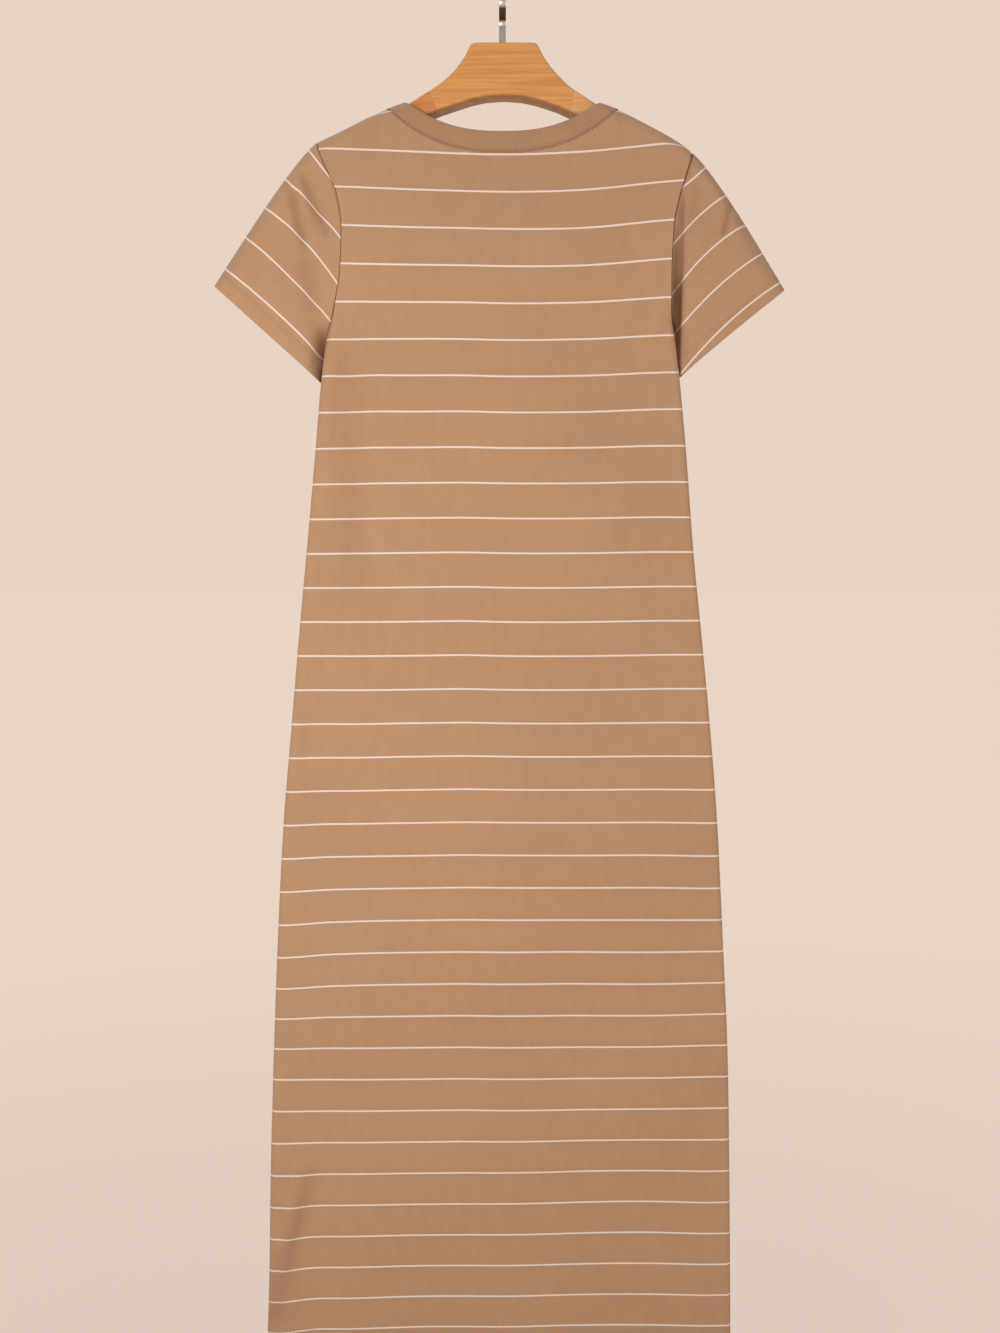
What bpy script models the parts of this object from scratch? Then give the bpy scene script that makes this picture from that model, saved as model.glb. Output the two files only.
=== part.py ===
"""A jersey T-shirt dress, hanging on a contoured wooden hanger with a flat steel hook.

Metres, +Z up. The origin is the inside top of the hook's bend, where a rail or a peg carries it.
-Y is the back of the dress, with the shallow neckline. +Y is its front, with the deeper one.
+X is to the right of someone who looks at the back. Every cloth piece is a wall between an outer
and an inner surface, both worked out from the section table, the shoulder table and the folds.
"""

import math
from bisect import bisect_right
from collections import namedtuple

import bmesh
import bpy
from mathutils import Vector

# ---- Cloth ---------------------------------------------------------------------------------
CLOTH = 0.0016  # wall of the jersey
HEM_CLOTH = 0.0026  # wall where a hem is turned up inside
BAND_CLOTH = 0.0026  # wall of the neckband, a strip folded double
HEM_DEPTH = 0.020  # height of the turned-up hem and cuffs
HEM_STEP = 0.0015  # height over which the hem's extra thickness starts
SEAM_GAP = 0.0003  # clearance between pieces that are sewn together

# ---- Dress ---------------------------------------------------------------------------------
HEM_Z = -1.412
UNDERARM_Z = -0.362
EDGE_RADIUS = 0.006  # roll of the cloth at a side seam
FOLD_FADE = 0.014  # breadth beside that roll over which the soft folds die out
FOLD_START = 0.25  # part of a fold's length over which it starts
FOLD_END = 0.33  # and ends
ARM_TURN = 0.050  # height above the underarm over which that roll opens flat
SHOULDER_SPREAD = 0.060  # height below the ridge over which the cloth leaves the hanger's sides
HANG_FROM_Z = -0.300  # from here up to HANG_TO_Z the seams' plane turns into the hanger's
HANG_TO_Z = -0.180
FRONT_SCOOP = 0.006  # how much further in the front armhole is cut

# ---- Neck ----------------------------------------------------------------------------------
NECK_HALF = 0.1145  # from the middle to the neckband's seam, on the ridge
NECK_RISE = 0.42  # slope of the ridge under the neckband
BACK_NECK_Z = -0.1768  # lowest point of the back neck seam
FRONT_NECK_Z = -0.2340  # lowest point of the front neck seam
BACK_NECK_POWER = 2.5  # how square each neckline is
FRONT_NECK_POWER = 2.3
BAND_WIDTH = 0.0178
BAND_LIFT = 0.0004  # from the seam line up to the neckband
BAND_RIDGE_HALF = 0.0985  # from the middle to the neckband's inner edge, on the ridge
NECK_FRACTION = 0.655  # part of the flat width that the neck seam spans at the top

# ---- Sleeves -------------------------------------------------------------------------------
SLEEVE_BULGE = 0.0065  # how far the sleeve's outer fold bows out
SLEEVE_START = 0.00050  # how far outside the seam line a sleeve starts
UNDERARM_START = 0.00020  # more of that at the underarm, where the sleeve lies beside the body
SHORTEST_SLEEVE = 0.038  # along the underarm, for the share of it that the cuff's hem takes
UNDERARM_SHARE = 0.25  # part of the way round an armhole that counts as underarm
FOLD_CALM = 0.12  # part of the way round, beside the sleeve's two edges, that stays without folds
SEAM_CALM = 0.06  # part of the sleeve's length beside its seam that stays without folds
CUFF_TURN = 0.16  # part of the cuff's width over which its two layers part

# ---- Hanger --------------------------------------------------------------------------------
HANGER_TOP_Z = -0.070
HANGER_HALF_DEPTH = 0.0135
HANGER_JOINT_X = 0.072
HANGER_TIP_X = 0.1885
HANGER_TIP_HALF_DEPTH = 0.0165
HANGER_EDGE = 0.0025  # rounding of the block's edges
HANGER_ARM_EDGE = 0.0100  # rounding of an arm's top edges, under the cloth
HANGER_LOW_EDGE = 0.0060  # rounding of an arm's lower edges
ARM_EDGE_SHARE = 0.25  # part of an arm over which the block's edges turn into its own
HANGER_SWEEP = 0.008  # how far the arms' tips come towards -Y
HANGER_CLEARANCE = 0.0015  # from the wood to the cloth that rests on it
COVER_CHANGE = 0.006  # breadth past the neckband's seam over which the wood rises to the thinner cloth
ARM_LEVEL = 0.004  # inside the neckband's edge, where an arm's top starts to follow the cloth

# ---- Hook ----------------------------------------------------------------------------------
HOOK_WIDTH = 0.0070
HOOK_THICKNESS = 0.0022
HOOK_INNER_RADIUS = 0.0160
HOOK_JOG_LOW_Z = -0.0475
HOOK_JOG_HIGH_Z = -0.0345
HOOK_BEND = 0.0045  # rounding of the jog's two bends
HOOK_TIP_ANGLE = -32.0  # degrees below the bend's centre at which the arc ends
HOOK_TIP_LENGTH = 0.006

# ---- Grid ----------------------------------------------------------------------------------
# Columns on each side of the middle, as parts of the neck seam's half width, closer at the ridge.
NECK_SHARES = (0.20, 0.40, 0.58, 0.73, 0.85, 0.92, 0.96, 0.98, 0.992, 1.0)
SPREAD_FROM_Z = -0.75  # the columns are even up to here, and gathered at the neck from GATHER_Z
GATHER_Z = -0.28
SHOULDER_SEGMENTS = 4
EDGE_SEGMENTS = 3
SKIRT_LEVELS = 14
SKIRT_TOP_Z = -0.402
CHEST_ROWS = (-0.380, UNDERARM_Z, -0.355, -0.343, -0.328, -0.306, -0.280)
BACK_YOKE_ROWS = (-0.250, -0.222)  # more of them on the back, which reaches higher before it parts
BACK_FAN_ROWS = 1  # rows between those and the ridge, where each column heads for its own top
FRONT_FAN_ROWS = 3
RIDGE_ANGLES = (90, 58, 28, 0)  # rows where the cloth turns over the hanger, before the seam's row
NECK_DROPS = (1.0, 0.62, 0.32, 0.12, 0.0)  # the same rows where a column ends at the neck
SLEEVE_RINGS = 8
HOOK_STEPS = 18
BEND_STEPS = 4

# Sections of the body, from the hem up. left and right are the distances from the middle to the
# side seam or, above the underarm, to the armhole. axis is the side seams' place in Y. The other
# columns are the cloth's depth from that axis: in the middle, and just inside the rolled edge as
# an addition to its radius.
Section = namedtuple("Section", "z left right axis back_mid back_edge front_mid front_edge")
SECTIONS = (
    Section(-1.412, 0.2494, 0.2420, 0.0060, 0.0110, 0.0000, 0.0085, 0.0000),
    Section(-1.330, 0.2463, 0.2408, 0.0058, 0.0112, 0.0000, 0.0086, 0.0000),
    Section(-1.232, 0.2440, 0.2390, 0.0056, 0.0115, 0.0000, 0.0088, 0.0000),
    Section(-1.102, 0.2393, 0.2358, 0.0052, 0.0122, 0.0000, 0.0092, 0.0000),
    Section(-0.974, 0.2335, 0.2292, 0.0046, 0.0132, 0.0000, 0.0098, 0.0000),
    Section(-0.848, 0.2258, 0.2208, 0.0040, 0.0143, 0.0000, 0.0104, 0.0000),
    Section(-0.754, 0.2165, 0.2125, 0.0034, 0.0152, 0.0000, 0.0110, 0.0000),
    Section(-0.661, 0.2083, 0.2030, 0.0028, 0.0162, 0.0000, 0.0116, 0.0000),
    Section(-0.569, 0.1965, 0.1932, 0.0021, 0.0172, 0.0000, 0.0122, 0.0000),
    Section(-0.478, 0.1891, 0.1868, 0.0012, 0.0183, 0.0000, 0.0130, 0.0000),
    Section(-0.402, 0.1832, 0.1798, 0.0002, 0.0192, 0.0000, 0.0140, 0.0000),
    Section(-0.362, 0.1777, 0.1757, -0.0006, 0.0198, 0.0000, 0.0146, 0.0000),
    Section(-0.330, 0.1695, 0.1703, -0.0018, 0.0203, 0.0045, 0.0152, 0.0040),
    Section(-0.290, 0.1626, 0.1692, -0.0036, 0.0210, 0.0105, 0.0160, 0.0090),
    Section(-0.250, 0.1604, 0.1702, -0.0054, 0.0216, 0.0140, 0.0166, 0.0125),
    Section(-0.220, 0.1642, 0.1755, -0.0068, 0.0220, 0.0150, 0.0170, 0.0140),
    Section(-0.195, 0.1732, 0.1822, -0.0078, 0.0220, 0.0150, 0.0172, 0.0150),
    Section(-0.178, 0.1802, 0.1868, -0.0080, 0.0220, 0.0150, 0.0172, 0.0150),
    Section(-0.167, 0.1830, 0.1870, -0.0080, 0.0220, 0.0150, 0.0172, 0.0150),
)

# The shoulder seam, along the ridge, from the neckband's inner edge out to the sleeve.
Shoulder = namedtuple("Shoulder", "out left_z right_z")
SHOULDERS = (
    Shoulder(0.0985, -0.1264, -0.1266),
    Shoulder(0.1145, -0.1330, -0.1334),
    Shoulder(0.1350, -0.1424, -0.1440),
    Shoulder(0.1550, -0.1531, -0.1550),
    Shoulder(0.1720, -0.1616, -0.1650),
    Shoulder(0.1830, -0.1668, -0.1726),
    Shoulder(0.1870, -0.1690, -0.1768),
)

# The corners of each sleeve's flattened cuff: tip at the outer fold, corner under the arm.
Sleeve = namedtuple("Sleeve", "sign tip_x tip_y tip_z corner_x corner_y corner_z depth")
LEFT_SLEEVE = Sleeve(-1, -0.2885, 0.0010, -0.3040, -0.1868, 0.0045, -0.4000, 0.0085)
RIGHT_SLEEVE = Sleeve(1, 0.2825, 0.0000, -0.3055, 0.1838, 0.0045, -0.3925, 0.0095)

# Soft folds, as lines seen from the back. depth is how far the cloth sinks at the middle of the
# line, below zero where it stands out, and width is half the fold's breadth.
Fold = namedtuple("Fold", "x_top z_top x_low z_low depth width")
BACK_FOLDS = (
    Fold(-0.158, -0.330, -0.150, -0.640, 0.0050, 0.016),
    Fold(-0.128, -0.350, -0.122, -0.600, -0.0022, 0.018),
    Fold(-0.176, -0.620, -0.190, -1.150, 0.0028, 0.020),
    Fold(-0.205, -1.230, -0.243, -1.372, 0.0042, 0.012),
    Fold(0.150, -0.420, 0.168, -0.800, 0.0020, 0.020),
    Fold(0.060, -0.900, 0.085, -1.330, 0.0014, 0.030),
)
FRONT_FOLDS = (
    Fold(0.140, -0.340, 0.150, -0.700, 0.0038, 0.018),
    Fold(-0.150, -0.350, -0.165, -0.560, 0.0030, 0.016),
    Fold(-0.060, -0.260, -0.130, -0.390, 0.0024, 0.020),
    Fold(0.175, -0.850, 0.200, -1.260, 0.0026, 0.020),
    Fold(-0.120, -1.000, -0.150, -1.380, 0.0020, 0.024),
)
LEFT_SLEEVE_BACK_FOLDS = (
    Fold(-0.204, -0.196, -0.190, -0.262, 0.0036, 0.010),
    Fold(-0.182, -0.196, -0.172, -0.250, 0.0030, 0.008),
    Fold(-0.226, -0.240, -0.196, -0.330, 0.0024, 0.012),
    Fold(-0.180, -0.330, -0.188, -0.394, 0.0050, 0.010),
)
LEFT_SLEEVE_FRONT_FOLDS = (
    Fold(-0.208, -0.210, -0.186, -0.290, 0.0030, 0.011),
    Fold(-0.232, -0.250, -0.206, -0.350, 0.0022, 0.012),
)
RIGHT_SLEEVE_BACK_FOLDS = (
    Fold(0.1755, -0.250, 0.1800, -0.385, 0.0085, 0.0075),
    Fold(0.218, -0.212, 0.212, -0.262, 0.0030, 0.009),
    Fold(0.196, -0.205, 0.188, -0.300, 0.0026, 0.010),
)
RIGHT_SLEEVE_FRONT_FOLDS = (
    Fold(0.205, -0.220, 0.190, -0.300, 0.0028, 0.012),
    Fold(0.238, -0.262, 0.212, -0.352, 0.0020, 0.012),
)

# The hanger's front outline, from the middle out: its top and its lower edge. shift is how far the
# block stands to the right of its hook.
Outline = namedtuple("Outline", "out shift top_z low_z")
HANGER_BLOCK = (
    Outline(0.0000, 0.0016, -0.0700, -0.1211),
    Outline(0.0160, 0.0016, -0.0700, -0.1222),
    Outline(0.0285, 0.0016, -0.0701, -0.1245),
    Outline(0.0316, 0.0016, -0.0711, -0.1253),
    Outline(0.0340, 0.0016, -0.0738, -0.1259),
    Outline(0.0362, 0.0016, -0.0780, -0.1266),
    Outline(0.0390, 0.0016, -0.0837, -0.1275),
    Outline(0.0430, 0.0016, -0.0892, -0.1288),
    Outline(0.0480, 0.0016, -0.0957, -0.1304),
    Outline(0.0545, 0.0014, -0.1024, -0.1326),
    Outline(0.0620, 0.0006, -0.1092, -0.1355),
    Outline(0.0720, 0.0000, -0.1164, -0.1397),
)
HANGER_ARM_HEIGHT_JOINT = 0.0233
HANGER_ARM_HEIGHT_TIP = 0.0215
CORNER_SEGMENTS = 3
ARM_ROUND_X = 0.1770  # from here an arm rounds off to its tip
ARM_TIP_SHARE = 0.40  # what is left of its section there
ARM_STATIONS = (
    *(HANGER_JOINT_X + SEAM_GAP, 0.078, 0.086, 0.0945, 0.104, 0.1145, 0.125, 0.135, 0.145, 0.155),
    *(0.164, 0.172, 0.177, 0.181, 0.1845, 0.187, HANGER_TIP_X),
)

# ---- Finishes: linear red, green, blue, roughness, metallic ----------------------------------
Finish = namedtuple("Finish", "name colour roughness metallic")
JERSEY = Finish("jersey", (0.445, 0.235, 0.133), 0.85, 0.0)
RIB = Finish("neckband jersey", (0.400, 0.215, 0.125), 0.88, 0.0)
WOOD = Finish("pale beech", (0.640, 0.300, 0.115), 0.42, 0.0)
STEEL = Finish("plated steel", (0.560, 0.550, 0.530), 0.22, 1.0)

BACK = -1
FRONT = 1


# ---- Curves and small functions ----------------------------------------------------------------
class Curve:
    """A smooth line through points in rising order, flat beyond its ends, with no overshoot."""

    def __init__(self, places, values):
        self.places = list(places)
        self.values = list(values)
        steps = [b - a for a, b in zip(self.places, self.places[1:])]
        rises = [(b - a) / s for a, b, s in zip(self.values, self.values[1:], steps)]
        slopes = [rises[0]]
        for before, after in zip(rises, rises[1:]):
            slopes.append(0.0 if before * after <= 0 else 2 * before * after / (before + after))
        slopes.append(rises[-1])
        self.slopes = slopes

    def __call__(self, place):
        if place <= self.places[0]:
            return self.values[0]
        if place >= self.places[-1]:
            return self.values[-1]
        i = bisect_right(self.places, place) - 1
        step = self.places[i + 1] - self.places[i]
        t = (place - self.places[i]) / step
        rise = self.values[i + 1] - self.values[i]
        start = self.slopes[i] * step
        end = self.slopes[i + 1] * step
        return self.values[i] + t * (start + t * (3 * rise - 2 * start - end + t * (start + end - 2 * rise)))


def curve_of(rows, column):
    """The curve of one column of a table over the table's first column."""
    return Curve([row[0] for row in rows], [getattr(row, column) for row in rows])


def smooth(value):
    """0 up to 0, 1 from 1, and an S-shaped step between."""
    value = min(max(value, 0.0), 1.0)
    return value * value * (3 - 2 * value)


def mix(a, b, share):
    return a + (b - a) * share


SECTION = {name: curve_of(SECTIONS, name) for name in Section._fields[1:]}
RIDGE = {-1: curve_of(SHOULDERS, "left_z"), 1: curve_of(SHOULDERS, "right_z")}
TIP_OUT = {-1: SECTIONS[-1].left, 1: SECTIONS[-1].right}
STRIP = EDGE_RADIUS * math.pi / 2  # breadth of the rolled edge, laid flat


# ---- The body's surface ------------------------------------------------------------------------
def sign_of(x):
    return -1 if x < 0 else 1


def ridge_z(x):
    """Height of the shoulder's ridge, carried on inwards over the neck opening."""
    out = abs(x)
    first = SHOULDERS[0].out
    start = RIDGE[sign_of(x)](max(out, first))
    return start + max(first - out, 0.0) * NECK_RISE


def arm_share(out):
    """How far along an arm of the hanger a place lies, from its joint to its tip."""
    return min(max((out - HANGER_JOINT_X) / (HANGER_TIP_X - HANGER_JOINT_X), 0.0), 1.0)


def arm_half_depth(out):
    return mix(HANGER_HALF_DEPTH, HANGER_TIP_HALF_DEPTH, smooth(arm_share(out)))


def arm_edge(out):
    """Rounding of the arm's top edges."""
    return mix(HANGER_EDGE, HANGER_ARM_EDGE, smooth(arm_share(out) / ARM_EDGE_SHARE))


def cover(out):
    """From the wood to the outer surface of the cloth over it."""
    return HANGER_CLEARANCE + mix(BAND_CLOTH, CLOTH, smooth((out - NECK_HALF) / COVER_CHANGE))


def ridge_turn(x, inset):
    """Radius with which the cloth turns over the hanger's edge."""
    return arm_edge(abs(x)) + cover(abs(x)) - inset


def ridge_depth(x, below, inset):
    """Half depth of the cloth at a height below the ridge, while it still lies round the wood."""
    turn = ridge_turn(x, inset)
    reach = turn if below >= turn else math.sqrt(max(turn**2 - (turn - below) ** 2, 0.0))
    return arm_half_depth(abs(x)) - arm_edge(abs(x)) + reach


def wood_line(x):
    """Where the middle of the hanger lies in Y: its arms sweep towards the back of the dress."""
    return -HANGER_SWEEP * smooth(arm_share(abs(x)))


def axis_y(x, z):
    """The plane between the two panels, which follows the hanger at the shoulders."""
    hung = smooth((z - HANG_FROM_Z) / (HANG_TO_Z - HANG_FROM_Z))
    return mix(SECTION["axis"](z), wood_line(x), hung)


def outline(z, sign, side):
    """Distance from the middle to the side seam or armhole."""
    edge = SECTION["left" if sign < 0 else "right"](z)
    if side == FRONT:
        span = (z - UNDERARM_Z) / (SECTIONS[-1].z - UNDERARM_Z)
        edge -= FRONT_SCOOP * math.sin(math.pi * min(max(span, 0.0), 1.0)) ** 2
    return edge


def fold_depth(folds, x, z):
    """How far the soft folds sink the cloth at a place."""
    total = 0.0
    for fold in folds:
        dx = fold.x_low - fold.x_top
        dz = fold.z_low - fold.z_top
        length = math.hypot(dx, dz)
        along = ((x - fold.x_top) * dx + (z - fold.z_top) * dz) / length
        across = ((x - fold.x_top) * dz - (z - fold.z_top) * dx) / length
        share = along / length
        if 0 < share < 1:
            ends = smooth(share / FOLD_START) * smooth((1 - share) / FOLD_END)
            total += fold.depth * ends * math.exp(-((across / fold.width) ** 2))
    return total


def body_y(side, x, z, inset):
    """Y of a panel's flat part at a place seen from the back, sunk by inset for its inner surface."""
    sign = sign_of(x)
    name = "back" if side == BACK else "front"
    flat = outline(z, sign, side) - STRIP
    across = min(abs(x) / flat, 1.0)
    edge = EDGE_RADIUS + SECTION[name + "_edge"](z)
    crown = SECTION[name + "_mid"](z) - edge
    depth = edge + crown * math.cos(math.pi / 2 * across) ** 2 - inset
    sink = fold_depth(BACK_FOLDS if side == BACK else FRONT_FOLDS, x, z)
    depth -= sink * smooth((flat - abs(x)) / FOLD_FADE)
    below = max(ridge_z(x) - inset - z, 0.0)
    if below < SHOULDER_SPREAD:
        lying = ridge_depth(x, below, inset)
        standing = max(depth - ridge_depth(x, SHOULDER_SPREAD, inset), 0.0)
        depth = lying + standing * smooth(below / SHOULDER_SPREAD)
    return axis_y(x, z) + side * depth


def strip_point(side, sign, share, z, inset):
    """A point of the rolled edge: share 0 is where the flat part ends and 1 is the seam line."""
    edge = outline(z, sign, side)
    opened = smooth((z - UNDERARM_Z) / ARM_TURN)
    angle = math.pi / 2 * (1 - opened)
    if angle < 0.01:
        x = sign * (edge - STRIP * (1 - share))
        return Vector((x, body_y(side, x, z, inset), z))
    radius = STRIP / angle
    start = edge - radius * math.sin(angle)
    turned = angle * share
    x = start + (radius - inset) * math.sin(turned)
    y = body_y(side, sign * (edge - STRIP), z, 0.0)
    y -= side * (radius - (radius - inset) * math.cos(turned))
    return Vector((sign * x, y, z))


# ---- Columns and rows of a panel ---------------------------------------------------------------
# even and top run from 0 in the middle to 1 where the rolled edge starts: even is a column's place
# in the skirt and top its place at the shoulders. share then runs over the rolled edge. neck is
# the part of the neck seam's half width at which the column ends, or above 1 past the neck.
Column = namedtuple("Column", "sign even top share neck")
PAST_NECK = 2.0


def half_columns(sign):
    flat_segments = len(NECK_SHARES) + SHOULDER_SEGMENTS
    columns = []
    for k, neck in enumerate(NECK_SHARES, 1):
        columns.append(Column(sign, k / flat_segments, NECK_FRACTION * neck, 0.0, neck))
    for k in range(1, SHOULDER_SEGMENTS + 1):
        top = mix(NECK_FRACTION, 1, k / SHOULDER_SEGMENTS)
        even = (len(NECK_SHARES) + k) / flat_segments
        columns.append(Column(sign, even, top, 0.0, PAST_NECK))
    seam = 1 - SEAM_GAP / 2 / (EDGE_RADIUS - CLOTH) * EDGE_RADIUS / STRIP
    for k in range(1, EDGE_SEGMENTS + 1):
        columns.append(Column(sign, 1.0, 1.0, min(k / EDGE_SEGMENTS, seam), PAST_NECK))
    return columns


COLUMNS = half_columns(-1)[::-1] + [Column(1, 0.0, 0.0, 0.0, 0.0)] + half_columns(1)


def neckline_z(side, x):
    """Height of the neck seam."""
    lowest = BACK_NECK_Z if side == BACK else FRONT_NECK_Z
    power = BACK_NECK_POWER if side == BACK else FRONT_NECK_POWER
    share = min(abs(x) / NECK_HALF, 1.0)
    return mix(lowest, RIDGE[sign_of(x)](NECK_HALF), share**power)


def column_x(side, column, z):
    flat = outline(z, column.sign, side) - STRIP
    gathered = smooth((z - SPREAD_FROM_Z) / (GATHER_Z - SPREAD_FROM_Z))
    place = mix(column.even, column.top, gathered)
    return column.sign * (flat * place + STRIP * column.share)


def top_of(side, column):
    """Where a column ends: on the neck seam or on the shoulder seam."""
    if column.neck <= 1:
        x = column.sign * NECK_HALF * column.neck
        z = neckline_z(side, x) - (SEAM_GAP if column.neck < 1 else 0)
        return x, z
    x = column_x(side, column, SECTIONS[-1].z)
    return x, ridge_z(x)


def rows_of(side):
    """Heights shared by every column, from the hem up to where the columns part."""
    hem_top = HEM_Z + HEM_DEPTH
    rows = [HEM_Z, hem_top - HEM_STEP, hem_top]
    for k in range(1, SKIRT_LEVELS + 1):
        rows.append(mix(hem_top, SKIRT_TOP_Z, k / SKIRT_LEVELS))
    rows += CHEST_ROWS
    if side == BACK:
        rows += BACK_YOKE_ROWS
    return rows


def fan_rows(side):
    return BACK_FAN_ROWS if side == BACK else FRONT_FAN_ROWS


def row_count(side):
    return len(rows_of(side)) + fan_rows(side) + len(NECK_DROPS)


def ridge_row_depth(x, step, inset):
    """Half depth of the rows over the ridge. The last one is the shoulder seam's."""
    if step >= len(RIDGE_ANGLES):
        return SEAM_GAP / 2
    flat_top = arm_half_depth(abs(x)) - arm_edge(abs(x))
    return flat_top + ridge_turn(x, inset) * math.sin(math.radians(RIDGE_ANGLES[step]))


def panel_point(side, column, row, inset):
    """A point of a panel. row counts up from the hem, over the shared heights and then over the
    heights that fan out to the column's own top."""
    shared = rows_of(side)
    if row < len(shared):
        z = shared[row]
        if inset and z < HEM_Z + HEM_DEPTH - HEM_STEP / 2:
            inset = HEM_CLOTH
        if column.share:
            return strip_point(side, column.sign, column.share, z, inset)
        x = column_x(side, column, z)
        return Vector((x, body_y(side, x, z, inset), z))
    top_x, top_z = top_of(side, column)
    on_ridge = column.neck >= 1
    turn = ridge_turn(top_x, 0.0)
    fan = fan_rows(side)
    step = row - len(shared) - fan
    if step < 0:
        z = mix(shared[-1], top_z - turn, (step + fan + 1) / (fan + 1))
    elif on_ridge:
        angle = math.radians(RIDGE_ANGLES[min(step, len(RIDGE_ANGLES) - 1)])
        z = top_z - inset - ridge_turn(top_x, inset) * (1 - math.cos(angle))
    else:
        z = top_z - turn * NECK_DROPS[step]
    if column.share:
        point = strip_point(side, column.sign, column.share, z, inset)
    else:
        x = column_x(side, column, z)
        if column.neck <= 1:
            x = mix(x, top_x, smooth((z - shared[-1]) / (top_z - shared[-1])))
        point = Vector((x, body_y(side, x, z, inset), z))
    if on_ridge and step >= 0:
        point.y = axis_y(point.x, z) + side * ridge_row_depth(top_x, step, inset)
    return point


# ---- Making solids -----------------------------------------------------------------------------
def material_of(finish):
    material = bpy.data.materials.get(finish.name) or bpy.data.materials.new(finish.name)
    material.use_nodes = True
    shader = material.node_tree.nodes["Principled BSDF"]
    shader.inputs["Base Color"].default_value = (*finish.colour, 1.0)
    shader.inputs["Roughness"].default_value = finish.roughness
    shader.inputs["Metallic"].default_value = finish.metallic
    return material


def make_node(name, points, faces, finish, sharp_degrees=40):
    """A named object from points and faces, closed and with its faces pointing out."""
    mesh = bpy.data.meshes.new(name)
    mesh.from_pydata([tuple(point) for point in points], [], faces)
    work = bmesh.new()
    work.from_mesh(mesh)
    bmesh.ops.recalc_face_normals(work, faces=work.faces)
    if work.calc_volume(signed=True) < 0:
        bmesh.ops.reverse_faces(work, faces=work.faces)
    work.to_mesh(mesh)
    work.free()
    mesh.shade_smooth()
    mesh.set_sharp_from_angle(angle=math.radians(sharp_degrees))
    mesh.materials.append(material_of(finish))
    node = bpy.data.objects.new(name, mesh)
    bpy.context.scene.collection.objects.link(node)
    return node


def make_wall(name, outer, inner, finish, ring=False):
    """A wall between two grids of rows of points. With ring, each row closes on itself."""
    rows = len(outer)
    columns = len(outer[0])
    points = [p for grid in (outer, inner) for row in grid for p in row]
    shift = rows * columns
    last = columns if ring else columns - 1
    faces = []
    for i in range(rows - 1):
        for j in range(last):
            k = (j + 1) % columns
            quad = (i * columns + j, i * columns + k, (i + 1) * columns + k, (i + 1) * columns + j)
            faces.append(quad)
            faces.append(tuple(shift + corner for corner in reversed(quad)))
    for i in (0, rows - 1):
        for j in range(last):
            a = i * columns + j
            b = i * columns + (j + 1) % columns
            faces.append((a, b, shift + b, shift + a))
    if not ring:
        for j in (0, columns - 1):
            for i in range(rows - 1):
                a = i * columns + j
                b = a + columns
                faces.append((a, b, shift + b, shift + a))
    return make_node(name, points, faces, finish)


def make_loft(name, rings, finish, sharp_degrees=40):
    """A solid through rings of equally many points, with its two end rings filled."""
    size = len(rings[0])
    points = [p for ring in rings for p in ring]
    faces = [tuple(range(size)), tuple(reversed(range((len(rings) - 1) * size, len(rings) * size)))]
    for i in range(len(rings) - 1):
        for j in range(size):
            k = (j + 1) % size
            faces.append((i * size + j, i * size + k, (i + 1) * size + k, (i + 1) * size + j))
    return make_node(name, points, faces, finish, sharp_degrees)


# ---- Pieces of the dress -----------------------------------------------------------------------
def make_panel(name, side):
    grids = []
    for inset in (0.0, CLOTH):
        rows = range(row_count(side))
        grids.append([[panel_point(side, column, row, inset) for column in COLUMNS] for row in rows])
    return make_wall(name, grids[0], grids[1], JERSEY)


def armhole_edge(side, sign, inset):
    """The seam line of an armhole on one panel, from the underarm up to the shoulder's ridge."""
    first = rows_of(side).index(UNDERARM_Z)
    column = Column(sign, 1.0, 1.0, 1.0, PAST_NECK)
    edge = [panel_point(side, column, row, inset) for row in range(first, row_count(side))]
    for point in (edge[0], edge[-1]):
        point.y = axis_y(point.x, point.z)
    return edge


def armhole_ring(sign):
    """(outer point, inner point, side) round an armhole: up the back edge and down the front."""
    ring = []
    for side, cut in ((BACK, slice(None)), (FRONT, slice(-2, 0, -1))):
        outer = armhole_edge(side, sign, 0.0)[cut]
        inner = armhole_edge(side, sign, CLOTH)[cut]
        ring += [(a, b, side) for a, b in zip(outer, inner)]
    return ring


def shares_along(points):
    """How far along a line each of its points lies, from 0 to 1."""
    lengths = [0.0]
    for a, b in zip(points, points[1:]):
        lengths.append(lengths[-1] + (b - a).length)
    return [length / lengths[-1] for length in lengths]


def cuff_point(sleeve, share, side):
    """A point of the flattened cuff: share 0 is the corner under the arm and 1 the tip."""
    corner = Vector((sleeve.corner_x, sleeve.corner_y, sleeve.corner_z))
    tip = Vector((sleeve.tip_x, sleeve.tip_y, sleeve.tip_z))
    point = corner.lerp(tip, share)
    nearest = min(share, 1 - share)
    depth = sleeve.depth
    if nearest < CUFF_TURN:
        depth *= math.sqrt(1 - (1 - nearest / CUFF_TURN) ** 2)
    point.y += side * depth
    return point


def sleeve_stop(ring, start, end):
    """How far along the sleeve a ring lies, from its seam to its open end."""
    length = max((end - start).length, SHORTEST_SLEEVE)
    hem = 1 - HEM_DEPTH / length
    if ring < SLEEVE_RINGS:
        return hem * ring / (SLEEVE_RINGS - 1)
    return hem + HEM_STEP / length if ring == SLEEVE_RINGS else 1.0


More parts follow.
